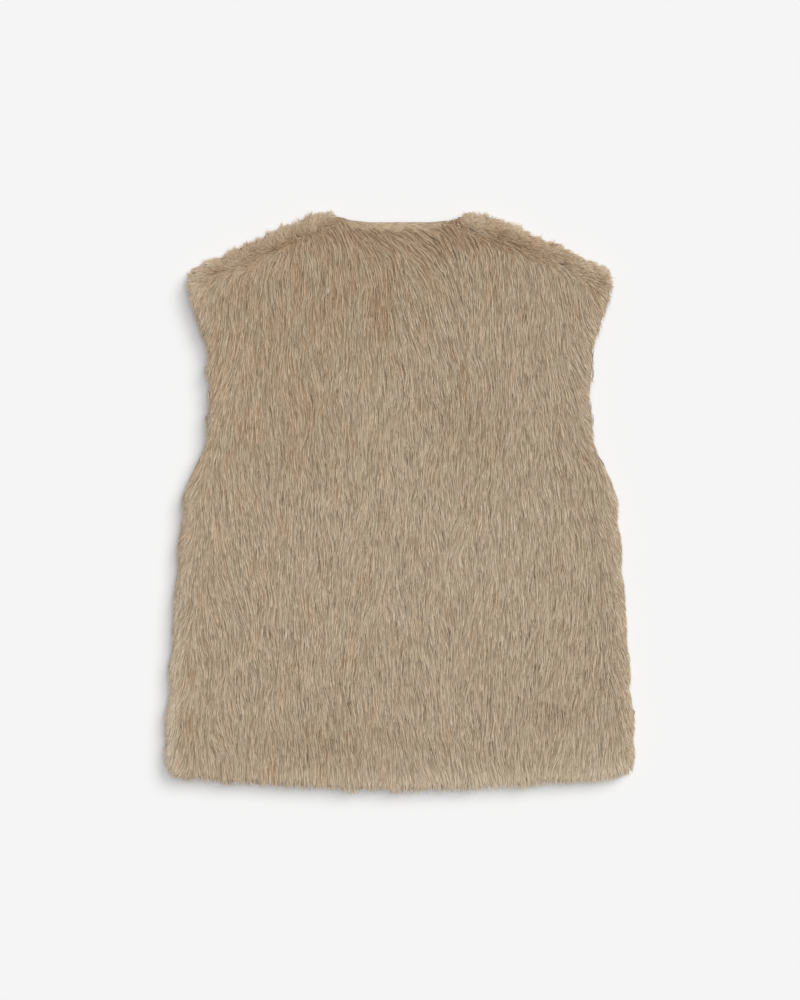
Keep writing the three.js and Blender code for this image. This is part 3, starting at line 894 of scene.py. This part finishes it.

# %% [markdown]
# ## Tone from place to place
# The vest isn't of one even tone. It is deeper and warmer under the neck and along the shoulder
# seams, where the pile parts, and paler at the hem. Part of that deepening and paling is painted
# shade and light: the deeper places stand for the shade in the nap and the partings, and the paler
# edges and hem offset the shade they lie in. A painted texture could hold that, but soft ovals,
# listed one by one, need no picture and can be read. Each row adds its tone and its warmth,
# which is positive for pinkish wisps and negative for olive ones.

# %% Places with a tone of their own, some of it painted shade and light
SHADE_AND_TONE_PLACES = [
    # x, y, across, along, tone with painted shade and light, warmth
    (0.000, 0.284, 0.230, 0.020, -2.3, 1.7),
    (0.000, 0.240, 0.230, 0.045, -0.8, 0.5),
    (-0.140, 0.180, 0.100, 0.110, -0.9, 0.5),
    (-0.060, 0.205, 0.060, 0.060, -0.6, 0.3),
    (0.075, 0.080, 0.045, 0.050, -1.2, 0.1),
    (-0.120, 0.060, 0.050, 0.050, -0.8, 0.2),
    (0.000, 0.310, 0.058, 0.011, 4.0, 0.8),
    (-0.090, 0.318, 0.040, 0.008, -0.8, 0.3),
    (0.090, 0.318, 0.030, 0.007, -0.6, 0.3),
    (0.150, 0.268, 0.050, 0.012, -1.8, 0.4),
    (-0.078, 0.309, 0.026, 0.006, -2.0, 1.6),
    (0.080, 0.309, 0.026, 0.007, -0.9, 1.8),
    (0.055, 0.306, 0.010, 0.008, 2.4, 0.3),
    (0.082, 0.296, 0.012, 0.007, 1.5, 0.6),
    (0.035, 0.286, 0.016, 0.012, 0.8, 0.8),
    (0.112, 0.306, 0.016, 0.008, -2.2, 0.5),
    (0.225, 0.220, 0.030, 0.050, 0.2, 0.8),
    # the next two rows: the left edge and armhole, paler as painted light against the shade there
    (-0.260, -0.200, 0.010, 0.200, 8.0, 0.0),
    (-0.240, 0.180, 0.010, 0.110, 6.0, 0.4),
    (-0.222, 0.240, 0.012, 0.040, 1.0, 0.3),
    # the next two rows: the paler hem, pale tips with painted light against the shade at its edge
    (0.225, -0.310, 0.030, 0.030, 2.4, 0.0),
    (0.130, -0.320, 0.120, 0.015, 2.8, 0.0),
    (-0.222, -0.270, 0.020, 0.030, -1.0, 0.0),
    (-0.006, -0.270, 0.030, 0.020, -0.8, 0.0),
    (0.060, -0.265, 0.200, 0.030, 0.3, 0.0),
    (0.030, -0.100, 0.080, 0.120, 0.5, 0.0),
    (0.130, -0.060, 0.050, 0.100, 0.7, 0.0),
    (0.010, -0.322, 0.150, 0.010, 0.8, 0.2),
    (-0.016, 0.185, 0.014, 0.045, -1.6, 0.3),
    (-0.085, -0.275, 0.060, 0.018, -1.8, 0.3),
    (0.165, -0.250, 0.024, 0.016, -1.8, 0.3),
    # broad soft patches, pinker on the left and under the neck, more olive on the right
    (-0.190, 0.090, 0.040, 0.150, 0.0, 0.7),
    (-0.020, 0.200, 0.070, 0.040, 0.0, 0.7),
    (-0.108, 0.100, 0.030, 0.050, 0.0, 0.6),
    (0.030, 0.280, 0.050, 0.026, 0.0, 0.9),
    (0.150, -0.110, 0.110, 0.160, 0.0, -0.7),
    (0.190, -0.315, 0.120, 0.030, 0.0, -2.0),
    # warm tufts along the partings, from the neck to the arms, deepened with painted shade
    (-0.070, 0.305, 0.014, 0.006, -3.0, 1.6),
    (-0.095, 0.296, 0.026, 0.010, -0.8, 1.2),
    (-0.109, 0.296, 0.014, 0.007, -2.4, 1.2),
    (-0.134, 0.279, 0.012, 0.006, -3.0, 1.6),
    (-0.164, 0.277, 0.010, 0.006, -2.0, 1.0),
    (-0.207, 0.252, 0.014, 0.008, -2.5, 1.0),
    (0.062, 0.291, 0.018, 0.012, -2.0, 1.2),
    (0.122, 0.284, 0.040, 0.012, -2.2, 1.3),
]
print(len(SHADE_AND_TONE_PLACES), "places have a tone or a warmth of their own")

# %% [markdown]
# ## Tone and warmth at any place
# All rows that reach a place are added up there. The shoulder bands are paler, and the partings
# warmer and deeper with painted shade, by the distance from the seams. Slow noise adds patches that
# have no row.

# %% Tone and warmth
BAND_TONE, BAND_REACH = 1.6, 0.012  # on the shoulder bands, in full this far from the seam
# painted shade in the partings, deeper on the left
PARTING_SHADE = {-1: -0.9, 1: -0.3}
PARTING_WARMTH = 0.9
PARTING_REACH = 0.006
PATCH_TONE, PATCH_WARMTH = 0.10, 0.58
patch_tone = soft_noise(31, 0.020, 0.120)
patch_warmth = soft_noise(32, 0.016, 0.070)


def tone_and_warmth(x, y):
    """Tone, with painted shade and light, and warmth of the locks at these places."""
    seam, beside = from_parting(x, y), np.abs(x) > SEAM_AT_NECK[0]
    parting = np.exp(-((seam / PARTING_REACH) ** 2)) * beside
    on_band = np.clip(-seam / BAND_REACH, 0, 1) * beside
    tone = PATCH_TONE * patch_tone(x, y) + BAND_TONE * on_band
    tone = tone + np.where(x < 0, PARTING_SHADE[-1], PARTING_SHADE[1]) * parting
    warmth = PATCH_WARMTH * patch_warmth(x, y) + PARTING_WARMTH * parting
    for place_x, place_y, across, along, place_tone, place_warmth in SHADE_AND_TONE_PLACES:
        share = np.exp(-(((x - place_x) / across) ** 2) - ((y - place_y) / along) ** 2)
        tone = tone + place_tone * share
        warmth = warmth + place_warmth * share
    return tone, warmth


middle_tone, middle_warmth = tone_and_warmth(np.float64(0), np.float64(0))
print(f"at the middle the tone is {middle_tone:.2f} and the warmth {middle_warmth:.2f}")

# %% [markdown]
# ## Bushy shoulders, short neck, filled groove
# On the shoulders the pile is short and bushy and strays every way, and along the back neck it
# is short too. These helpers say where. The solids have a shallow groove along each shoulder
# seam, which pile would bridge, so the lock lines are lifted over it.

# %% Shoulders, neck edge and seams
BUSH_REACH = 0.010  # how far below the seam the bushy pile fades out
NECK_LEVEL, NECK_HALF = 0.306, 0.075  # where the neck edge lies, and half its width
NECK_REACH = 0.010  # how far below it the short pile fades out
GROOVE_REACH = 0.0045  # half the width of the groove, softly
GROOVE_FILL = {-1: 0.0015, 1: 0.0022}  # the parting shows less on the right
GROOVE_UPWARD = 2  # how strongly the normals are turned up there
UP = np.array([0, 0, 1.0])


def bush(x, y):
    """One on the shoulder bands, fading out below their seams."""
    return np.exp(-((np.maximum(from_seam(x, y), 0) / BUSH_REACH) ** 2))


def neck_edge(x, y):
    """One along the edge of the back neck, fading out below it."""
    return np.exp(-((np.minimum(y - NECK_LEVEL, 0) / NECK_REACH) ** 2)) * (np.abs(x) < NECK_HALF)


def over_seam(line, normals):
    """Lines that bridge the shallow groove along the shoulder seams instead of dipping in."""
    near = np.exp(-((from_seam(line[..., 0], line[..., 1]) / GROOVE_REACH) ** 2))
    near = near * (line[..., 2] > HALF_HEIGHT)
    line[..., 2] += near * np.where(line[..., 0] < 0, GROOVE_FILL[-1], GROOVE_FILL[1])
    return line, unit(normals + GROOVE_UPWARD * near[..., None] * UP)


print(f"at the hem the bush is {bush(0.1, -0.3):.2f} and on a shoulder {bush(0.15, 0.29):.2f}")

# %% [markdown]
# ## The locks of one kind
# Here all of this comes together. Tips on edges stand out past the solid by a small overhang,
# which wavers and so draws the soft uneven outline. Faces that look to the floor have none.

# %% Locks
LENGTHS = (0.8, 1.2)  # of the look's own length
EDGE_PAINTED_LIGHT = 3.0  # painted light: how much paler the colour of edges is, against the shade they lie in and for light through thin tips
EDGE_FLARE = math.radians(10)  # tips on side edges point out a little more
LUMP_HEIGHTS = (0.0009, 0.0024)  # of the uneven outline, elsewhere and on the shoulder bands
LUMP_PAINTED_LIGHT = 0.5  # painted light: how much paler the parts are that stand out past the edge
FACING_FLOOR = (-0.6, 0.0)  # tips there end at the edge, and go past it in full
BUSHY_RISE = 0.7  # share of the sinking that bushy pile is spared
LOCK_WARMTH = 0.2  # how much single locks differ
lumps = soft_noise(35, 0.010, 0.024)


def locks(node, spacing, keep, look, random):
    """Locks of one kind on a solid, with what their strands share."""
    tips, normals = scatter(surfaces[node], spacing, keep, random)
    count = len(tips)
    x, y = tips[:, 0], tips[:, 1]
    bushy = bush(x, y)
    stray = random.normal(0, look["stray"], count) * (1 + look["bushy_stray"] * bushy)
    short = np.maximum(bushy, neck_edge(x, y))
    length = look["length"] * random.uniform(*LENGTHS, count) * (1 - look["bushy_cut"] * short)
    tone, warmth = tone_and_warmth(x, y)
    lump = lumps(x, y)
    # painted light: edges, and most of all the lumps that stand out, get a paler colour
    tone = tone + (EDGE_PAINTED_LIGHT + LUMP_PAINTED_LIGHT * lump) * (1 - np.abs(normals[:, 2]))
    stray = stray + EDGE_FLARE * normals[:, 0] * (1 - bushy)
    nap = leaning(nap_lean(x, y) + stray)
    past = random.uniform(*look["overhang"], count) + lump * np.interp(bushy, (0, 1), LUMP_HEIGHTS)
    past = past * np.interp(normals[:, 2], FACING_FLOOR, (0, 1))
    tips = tips + nap * (np.maximum((nap * normals).sum(1), 0) * past)[:, None]
    sunk = look["sunk"] * (1 - BUSHY_RISE * bushy[:, None])
    lift = random.random((count, 1)) ** 2 * look["lift"] - sunk
    line, line_normals = over_seam(*lock_lines(tips, normals, stray, length))
    return {
        "line": line + line_normals * lift,
        "normals": line_normals,
        "size": length / look["length"],
        "bushy": bushy,
        "tone": look["tone_place"] * tone + look["tone_lock"] * random.normal(0, 1, count),
        "warmth": warmth + LOCK_WARMTH * random.normal(0, 1, count),
    }


print(f"locks have from {LENGTHS[0]} to {LENGTHS[1]} of the length in their look")

# %% [markdown]
# ## From locks to strands
# The strands of a lock lie side by side, a small pitch apart, and come a little closer towards
# the tip. Each takes its middle line from the lock's, starts and ends at a place of its own,
# goes deeper towards its root, and gets a small curl and wiggle.

# %% Strand lines
TIP_POWER = 1.5  # most strands end near the lock's tip
ROOTS = (0.8, 1)  # where strands start, as a share of the way from the lock's tip to its root
DEPTHS = (0.5, 1.3)  # of the look's own depth
ROOT_CURVE = 1.4  # above one, a strand sinks mostly near its root
BUSHY_CURL = 3  # how much more strands curl on the shoulder bands
WIGGLE_GROWS = 3  # the wiggle is full after this part of a strand, here a third
EDGE_GATHER = 0.75  # how much closer the strands of a lock lie where the cloth turns sideways


def strand_lines(lock, each, look, random):
    """Places and normals of every strand, ring by ring from root to tip."""
    own = np.repeat(np.arange(len(lock["size"])), each)
    row = np.tile(np.arange(each) - (each - 1) / 2, len(lock["size"]))[:, None]
    count = len(own)
    way = np.linspace(0, 1, look["rings"])[:, None]
    tip_at = random.random(count) ** TIP_POWER * look["taper"]
    root_at = random.uniform(*ROOTS, count)
    along = (root_at + (tip_at - root_at) * way) * TRACE_STEPS
    knot = np.minimum(along.astype(int), TRACE_STEPS - 1)
    share = (along - knot)[..., None]
    line = lock["line"][knot, own] * (1 - share) + lock["line"][knot + 1, own] * share
    normals = lock["normals"][knot, own] * (1 - share) + lock["normals"][knot + 1, own] * share
    normals = unit(normals)
    heading = unit(np.gradient(line, axis=0))
    side = unit(np.cross(normals, heading))
    size = lock["size"][own][:, None]
    bushy = lock["bushy"][own][:, None]

    way = way[..., None]
    depth = look["depth"] * random.uniform(*DEPTHS, (count, 1)) * size
    rough = look["rough"] * random.normal(0, 1, (count, 1))
    apart = look["pitch"] * row + look["spread"] * random.normal(0, 1, (count, 1))
    at_edge = 1 - np.abs(normals[..., 2:])
    apart = apart * (1 - look["gather"] * way) * (1 - EDGE_GATHER * at_edge)
    curl = look["curl"] * random.normal(0, 1, (count, 1)) * (1 + BUSHY_CURL * bushy) * way**2
    wiggle = look["wiggle"] * random.normal(0, 1, (look["rings"], count, 1))
    line = line + normals * (rough - depth * (1 - way) ** ROOT_CURVE)
    line = line + side * (apart + curl + wiggle * np.minimum(1, way * WIGGLE_GROWS))
    return own, line, normals


print(f"strands start from {ROOTS[0]} to {ROOTS[1]} of the way back to a lock's root")

# %% [markdown]
# ## From strands to ribbons
# A strand is a flat ribbon with a few cross sections, as wide as a few hairs, that narrows to a
# point. Round tubes would look the same from a distance and take three times the faces. Each
# ribbon is turned mostly towards the sky, where the light and the eye are, with a small roll
# to one side or the other.

# %% Ribbons
SKYWARD = 3.2  # how strongly ribbons turn to face the sky
SKYWARD_FROM = -0.3  # on faces that look down more than this, they lie flat on the cloth
WIDTHS = (0.7, 1.3)  # of the look's own width
FLOOR_CLEAR = 0.0003
PILE_ABOVE = 0.006  # the furthest that pile rises over the back's solid
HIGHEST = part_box(BACK)[1].z + PILE_ABOVE


def ribbons(line, normals, bushy, turn, look, random):
    """Points of all the ribbons: two for each ring, then one for the tip."""
    count = line.shape[1]
    heading = unit(np.gradient(line, axis=0))
    skyward = np.where(normals[..., 2:] > SKYWARD_FROM, SKYWARD, 0) * UP
    across = unit(np.cross(unit(normals + skyward), heading))
    up = np.cross(heading, across)
    roll = (-turn * np.abs(random.normal(0, look["roll"], count)))[None, :, None]
    across = across * np.cos(roll) + up * np.sin(roll)
    width = look["width"] * random.uniform(*WIDTHS, count) * (1 - look["bushy_thin"] * bushy)
    shape = np.interp(np.linspace(0, 1, look["rings"]), *look["outline"])[:, None]
    half = (shape * width / 2)[:, :, None] * across
    body = np.stack([(line - half)[:-1], (line + half)[:-1]], axis=2)
    body = body.transpose(1, 0, 2, 3).reshape(count, -1, 3)
    points = eased(np.concatenate([body, line[-1][:, None]], axis=1).reshape(-1, 3))
    points[:, 2] = np.clip(points[:, 2], FLOOR_CLEAR, HIGHEST)
    return points


def ribbon_faces(count, rings):
    """Triangles that join the points of `count` ribbons, the last one at the tip."""
    size = 2 * (rings - 1) + 1
    faces = []
    for ring in range(rings - 2):
        a = 2 * ring
        faces += [(a, a + 1, a + 3), (a, a + 3, a + 2)]
    faces.append((size - 3, size - 2, size - 1))
    return (np.arange(count)[:, None, None] * size + np.array(faces)).reshape(-1, 3)


print("a ribbon of 4 rings has", len(ribbon_faces(1, 4)), "triangles")

# %% [markdown]
# ## Which kind of wisp a ribbon shows
# A ribbon's tone comes from its place on the vest, from its lock, and from its turn: the
# strands of a lock are dark and light by turns, which makes the fine stripes of combed fur.
# Its warmth chooses one of the three tints.

# %% Places on the pile map
KIND_MARGIN = 0.04  # a ribbon keeps this far from the neighbouring kinds
MAP_ENDS = (0.01, 0.99)  # the way on the map at the root and at the tip
MIDDLE_TONE = 0.515  # of 0 for the darkest kind of wisp to 1 for the palest
TONE_STEP = 0.1  # how much one unit of tone changes that
TURN_SHARE = (0.2, 1.6)  # how strongly the strands of a lock differ in tone by turns
STRAND_WARMTH = 0.3  # how much single strands differ
TINT_FROM = 0.75  # warmth past this either way takes the pinkish or the olive kinds


def ribbon_map(own, lock, turn, look, random):
    """Places on the pile map: the kind of wisp across, the way from root to tip up."""
    count = len(own)
    tone = MIDDLE_TONE + TONE_STEP * lock["tone"][own]
    tone = tone + look["tones"] * turn * random.uniform(*TURN_SHARE, count)
    tone = np.clip((tone * TONE_KINDS).astype(int), 0, TONE_KINDS - 1)
    warmth = lock["warmth"][own] + STRAND_WARMTH * random.normal(0, 1, count)
    tint = np.where(warmth > TINT_FROM, 0, np.where(warmth < -TINT_FROM, 2, 1))
    left = (tint * TONE_KINDS + tone)[:, None]
    edges = np.tile([KIND_MARGIN, 1 - KIND_MARGIN], look["rings"] - 1)
    map_x = np.concatenate([left + edges, left + 0.5], axis=1) / KINDS
    ways = np.linspace(*MAP_ENDS, look["rings"])
    map_y = np.tile(np.append(np.repeat(ways[:-1], 2), ways[-1]), (count, 1))
    return np.stack([map_x, map_y], axis=-1).reshape(-1, 2)


print("the middle tone is kind", int(MIDDLE_TONE * TONE_KINDS), "of 0 to", TONE_KINDS - 1)

# %% [markdown]
# ## One mesh for each kind
# Tens of thousands of objects would be slow, so all ribbons of a kind become one mesh. Adding
# them one by one in Python would be slow too, so numpy arrays fill its points, faces and map.

# %% Strand meshes


def strands(name, lock, each, look, material, random):
    """One mesh of ribbons, `each` to a lock, dark and light by turns."""
    own, line, normals = strand_lines(lock, each, look, random)
    turn = np.tile(1 - 2 * (np.arange(each) % 2), len(lock["size"]))
    turn = turn * np.repeat(random.choice([-1, 1], len(lock["size"])), each)
    points = ribbons(line, normals, lock["bushy"][own], turn, look, random)
    faces = ribbon_faces(len(own), look["rings"])
    places = ribbon_map(own, lock, turn, look, random)

    mesh = bpy.data.meshes.new(name)
    mesh.vertices.add(len(points))
    mesh.vertices.foreach_set("co", points.astype(np.float32).reshape(-1))
    mesh.loops.add(faces.size)
    mesh.loops.foreach_set("vertex_index", faces.reshape(-1).astype(np.int32))
    mesh.polygons.add(len(faces))
    mesh.polygons.foreach_set("loop_start", np.arange(0, faces.size, 3, dtype=np.int32))
    mesh.polygons.foreach_set("use_smooth", np.ones(len(faces), bool))
    layer = mesh.uv_layers.new(name=PILE_MAP)
    layer.data.foreach_set("uv", places[faces.reshape(-1)].astype(np.float32).reshape(-1))
    mesh.materials.append(material)
    mesh.update(calc_edges=True)
    piece = bpy.data.objects.new(name, mesh)
    scene.collection.objects.link(piece)
    print(name, len(own), "strands,", len(faces), "triangles")
    return piece

# %% All the hair of a solid
fur = {node: [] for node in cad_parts}


def grow(node, hairs, random):
    """Each kind of hair in a list, in its own mesh on one solid."""
    for name, spacing, each, look, material, keep in hairs:
        lock = locks(node, spacing, keep, look, random)
        fur[node].append(strands(f"{node}_{name}", lock, each, look, material, random))


print("fur will grow on", ", ".join(fur))

# %% [markdown]
# ## What sets the kinds of hair apart
# Each kind of hair has a look, a small table. `length`, `width`, `depth` of the roots, `lift`
# and `sunk` over and under the skin, `pitch` and `spread` inside a lock, `rough`, `curl` and
# `wiggle` are in metres, and so is the `overhang` past edges. `stray` and `roll` are angles in
# radians. `gather` closes a lock towards its tip and `taper` staggers the tips. `rings` are the
# cross sections, and `outline` is the width from root to tip. `tones` sets the strands of a
# lock apart, `tone_lock` the locks, and `tone_place` says how much the place counts. The last
# three say how the bushy places differ.

# %% Looks of the undercoat, the pile and the fine hairs
UNDER_LOOK = {
    "length": 0.021, "depth": 0.0018, "lift": 0.0003, "sunk": 0.0012, "stray": 0.10,
    "spread": 0.0018, "pitch": 0.0022, "gather": 0.2, "taper": 0.3, "rough": 0.0003, "curl": 0.0006,
    "wiggle": 0.0002, "roll": 0.3, "width": 0.0019, "rings": 3,
    "outline": ([0, 0.3, 0.7, 1], [0.3, 1, 0.72, 0.1]),
    "tones": 0.08, "tone_lock": 0.3, "tone_place": 1.0, "overhang": (-0.001, 0.004),
    "bushy_stray": 2.0, "bushy_cut": 0.6, "bushy_thin": 0.4,
}
GUARD_LOOK = {
    "length": 0.025, "depth": 0.0011, "lift": 0.0003, "sunk": 0.0006, "stray": 0.045,
    "spread": 0.0005, "pitch": 0.0011, "gather": 0.2, "taper": 0.4, "rough": 0.00033, "curl": 0.0006,
    "wiggle": 0.00024, "roll": 0.3, "width": 0.00112, "rings": 4,
    "outline": ([0, 0.3, 0.65, 1], [0.4, 1, 0.85, 0.05]),
    "tones": 0.18, "tone_lock": 0.10, "tone_place": 1.0, "overhang": (0.0015, 0.0062),
    "bushy_stray": 4.0, "bushy_cut": 0.4, "bushy_thin": 0.3,
}
FINE_LOOK = {
    "length": 0.029, "depth": 0.0010, "lift": 0.0004, "sunk": 0.0001, "stray": 0.055,
    "spread": 0.0003, "pitch": 0.0017, "gather": 0.15, "taper": 0.3, "rough": 0.0003, "curl": 0.0008,
    "wiggle": 0.00032, "roll": 0.3, "width": 0.00092, "rings": 5,
    "outline": ([0, 0.2, 0.6, 1], [0.5, 1, 0.85, 0.1]),
    "tones": 0.225, "tone_lock": 0.1, "tone_place": 0.8, "overhang": (0.0015, 0.0062),
    "bushy_stray": 4.0, "bushy_cut": 0.5, "bushy_thin": 0.3,
}
PAIR_LOOK = dict(GUARD_LOOK, spread=0.0003, pitch=0.0016)
print("widths in mm:", [look["width"] * 1000 for look in (UNDER_LOOK, GUARD_LOOK, FINE_LOOK)])

# %% [markdown]
# ## The fur of the back
# Three kinds of hair lie on the back. The short undercoat is broad and dull and fills the
# depth. The pile lies over it in locks of four strands and of two. Long fine hairs run over all
# the rest and draw the pale wavy lines that the photograph shows. More tips lie on the faces
# that look along the nap, such as the hem's, because no strands come over them from further on.

# %% Back: undercoat, pile and fine hairs
END_SHARE = 2.2


def more_at_ends(points, normals):
    """More tips where the cloth faces the way that the nap points."""
    nap = leaning(nap_lean(points[:, 0], points[:, 1]))
    return 1 + END_SHARE * np.maximum((nap * normals).sum(1), 0)


random = np.random.default_rng(41)
grow(BACK, [
    # name, distance between locks, strands in a lock, look, material, where they grow
    ("undercoat", 0.0078, 5, UNDER_LOOK, under_pile, more_at_ends),
    ("pile_a", 0.0058, 4, GUARD_LOOK, guard_pile, more_at_ends),
    ("pile_b", 0.0041, 2, PAIR_LOOK, guard_pile, more_at_ends),
    ("fine_hairs", 0.0055, 2, FINE_LOOK, guard_pile, more_at_ends),
], random)

# %% [markdown]
# ## The smooth edge of the neck
# Along the back neck a narrow band of short pile of an even tone lies flat, brushed sideways.
# It could come from the nap alone, but the long strands there hide the edge, so it gets
# short strands of its own.

# %% Back: neck edge
NECK_LOOK = {
    "length": 0.020, "depth": 0.0006, "lift": 0.0002, "sunk": -0.0004, "stray": 0.10,
    "spread": 0.0006, "pitch": 0.0010, "gather": 0.3, "taper": 0.3, "rough": 0.0002, "curl": 0.0004,
    "wiggle": 0.0002, "roll": 0.2, "width": 0.0011, "rings": 4,
    "outline": ([0, 0.3, 0.65, 1], [0.4, 1, 0.85, 0.05]),
    "tones": 0.08, "tone_lock": 0.3, "tone_place": 0.42, "overhang": (-0.002, 0.001),
    "bushy_stray": 0, "bushy_cut": 0, "bushy_thin": 0,
}
NECK_BAND = 0.0095  # width of the smooth pile along the neck edge
NECK_FACING = -0.2  # it doesn't grow on faces that look down more than this


def at_neck(points, normals):
    """Strands along the neck edge alone."""
    out = np.abs(points[:, 0])
    below = np.interp(out, *NECK_LINE) - points[:, 1]
    return (below < NECK_BAND) * (out < NECK_LINE[0][2]) * (normals[:, 2] > NECK_FACING)


grow(BACK, [("neck_edge", 0.0022, 5, NECK_LOOK, guard_pile, at_neck)], random)

# %% [markdown]
# ## The fur of the fronts
# The fronts show as the shoulder bands and along the side edges and the hem. The rest lies
# pressed on the floor, where fewer strands are enough. Their pile lies a little deeper than the
# back's, so that at the sides the back's pale tips come over it.

# %% Looks of the fronts, and where they grow
FRONT_UNDER_LOOK = dict(UNDER_LOOK, pitch=0.0015, sunk=0.0026, overhang=(-0.005, 0.000))
FRONT_LOOK = dict(GUARD_LOOK, sunk=0.0022, overhang=(-0.005, 0.000))
FRONT_FINE_LOOK = dict(FINE_LOOK, sunk=0.0020, overhang=(-0.005, 0.000))
UNDERSIDE, UNDERSIDE_SHARE = -0.9, 0.2  # faces that look down this much have few strands
BAND_FACING, BAND_SHARE = -0.5, 0.5  # half as many where the bands' own pile comes over them


def shown(points, normals):
    """Few strands on the underside, and fewer under the pile of the bands."""
    on_band = bush(points[:, 0], points[:, 1]) * (normals[:, 2] > BAND_FACING)
    share = np.where(normals[:, 2] < UNDERSIDE, UNDERSIDE_SHARE, 1 - BAND_SHARE * on_band)
    return more_at_ends(points, normals) * share


FRONT_HAIRS = [
    # name, distance between locks, strands in a lock, look, material, where they grow
    ("undercoat", 0.0078, 8, FRONT_UNDER_LOOK, under_pile, shown),
    ("pile", 0.0056, 5, FRONT_LOOK, guard_pile, shown),
    ("fine_hairs", 0.0080, 2, FRONT_FINE_LOOK, guard_pile, shown),
]
print(len(FRONT_HAIRS), "kinds of hair for each front")

# %% [markdown]
# ## The shoulder bands
# The bands' own pile is short and fluffy. It points away from the seam, over the fold, and its
# ends draw the soft bumps of the shoulder's outline. On the left its tones differ more.

# %% Fronts with their bands
BAND_LOOK = {
    "length": 0.019, "depth": 0.0020, "lift": 0.0006, "sunk": 0.0004, "stray": 0.20,
    "spread": 0.0008, "pitch": 0.0010, "gather": 0.5, "taper": 0.3, "rough": 0.0004, "curl": 0.0005,
    "wiggle": 0.00025, "roll": 0.4, "width": 0.0011, "rings": 4,
    "outline": ([0, 0.3, 0.65, 1], [0.5, 1, 0.85, 0.05]),
    "tones": 0.11, "tone_lock": 0.4, "tone_place": 1.0, "overhang": (-0.002, 0.004),
    "bushy_stray": 0.5, "bushy_cut": 0.1, "bushy_thin": 0.1,
}
BAND_CONTRAST = {-1: 1.5, 1: 0.9}  # tones of the strands on a band
BAND_BELOW = 0.002  # the bands' pile starts this far below the parting
BAND_ROUND = -0.8  # and goes round the fold, to faces that look down this much


def on_bands(points, normals):
    """Strands on the shoulder bands and round their folds alone."""
    seam = from_parting(points[:, 0], points[:, 1])
    return (seam < BAND_BELOW) * (normals[:, 2] > BAND_ROUND)


for node, side in FRONTS.items():
    grow(node, FRONT_HAIRS, random)
    band_look = dict(BAND_LOOK, tones=BAND_LOOK["tones"] * BAND_CONTRAST[side])
    grow(node, [("band", 0.0030, 7, band_look, guard_pile, on_bands)], random)

# %% [markdown]
# ## Hand over to the frame
# Every piece rides on the one body of the vest. Each wall stands for its solid, which is hidden.
# The table lists the size that each pattern piece is cut to, which is read but not used.

# %% Rides, replacements and sizes of the cut pieces
CUTS = {
    # width, length and area of the flat pattern piece
    BACK: (0.523, 0.630, 0.283),
    "front_right": (0.262, 0.662, 0.150),
    "front_left": (0.262, 0.662, 0.150),
}
for node, cloth in walls.items():
    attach(cloth, "root")
    for hair in fur[node]:
        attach(hair, "root")
    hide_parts(node)
    width, length, area = CUTS[node]
print(len(walls), "sheets of cloth carry", sum(len(hairs) for hairs in fur.values()), "pieces of pile")
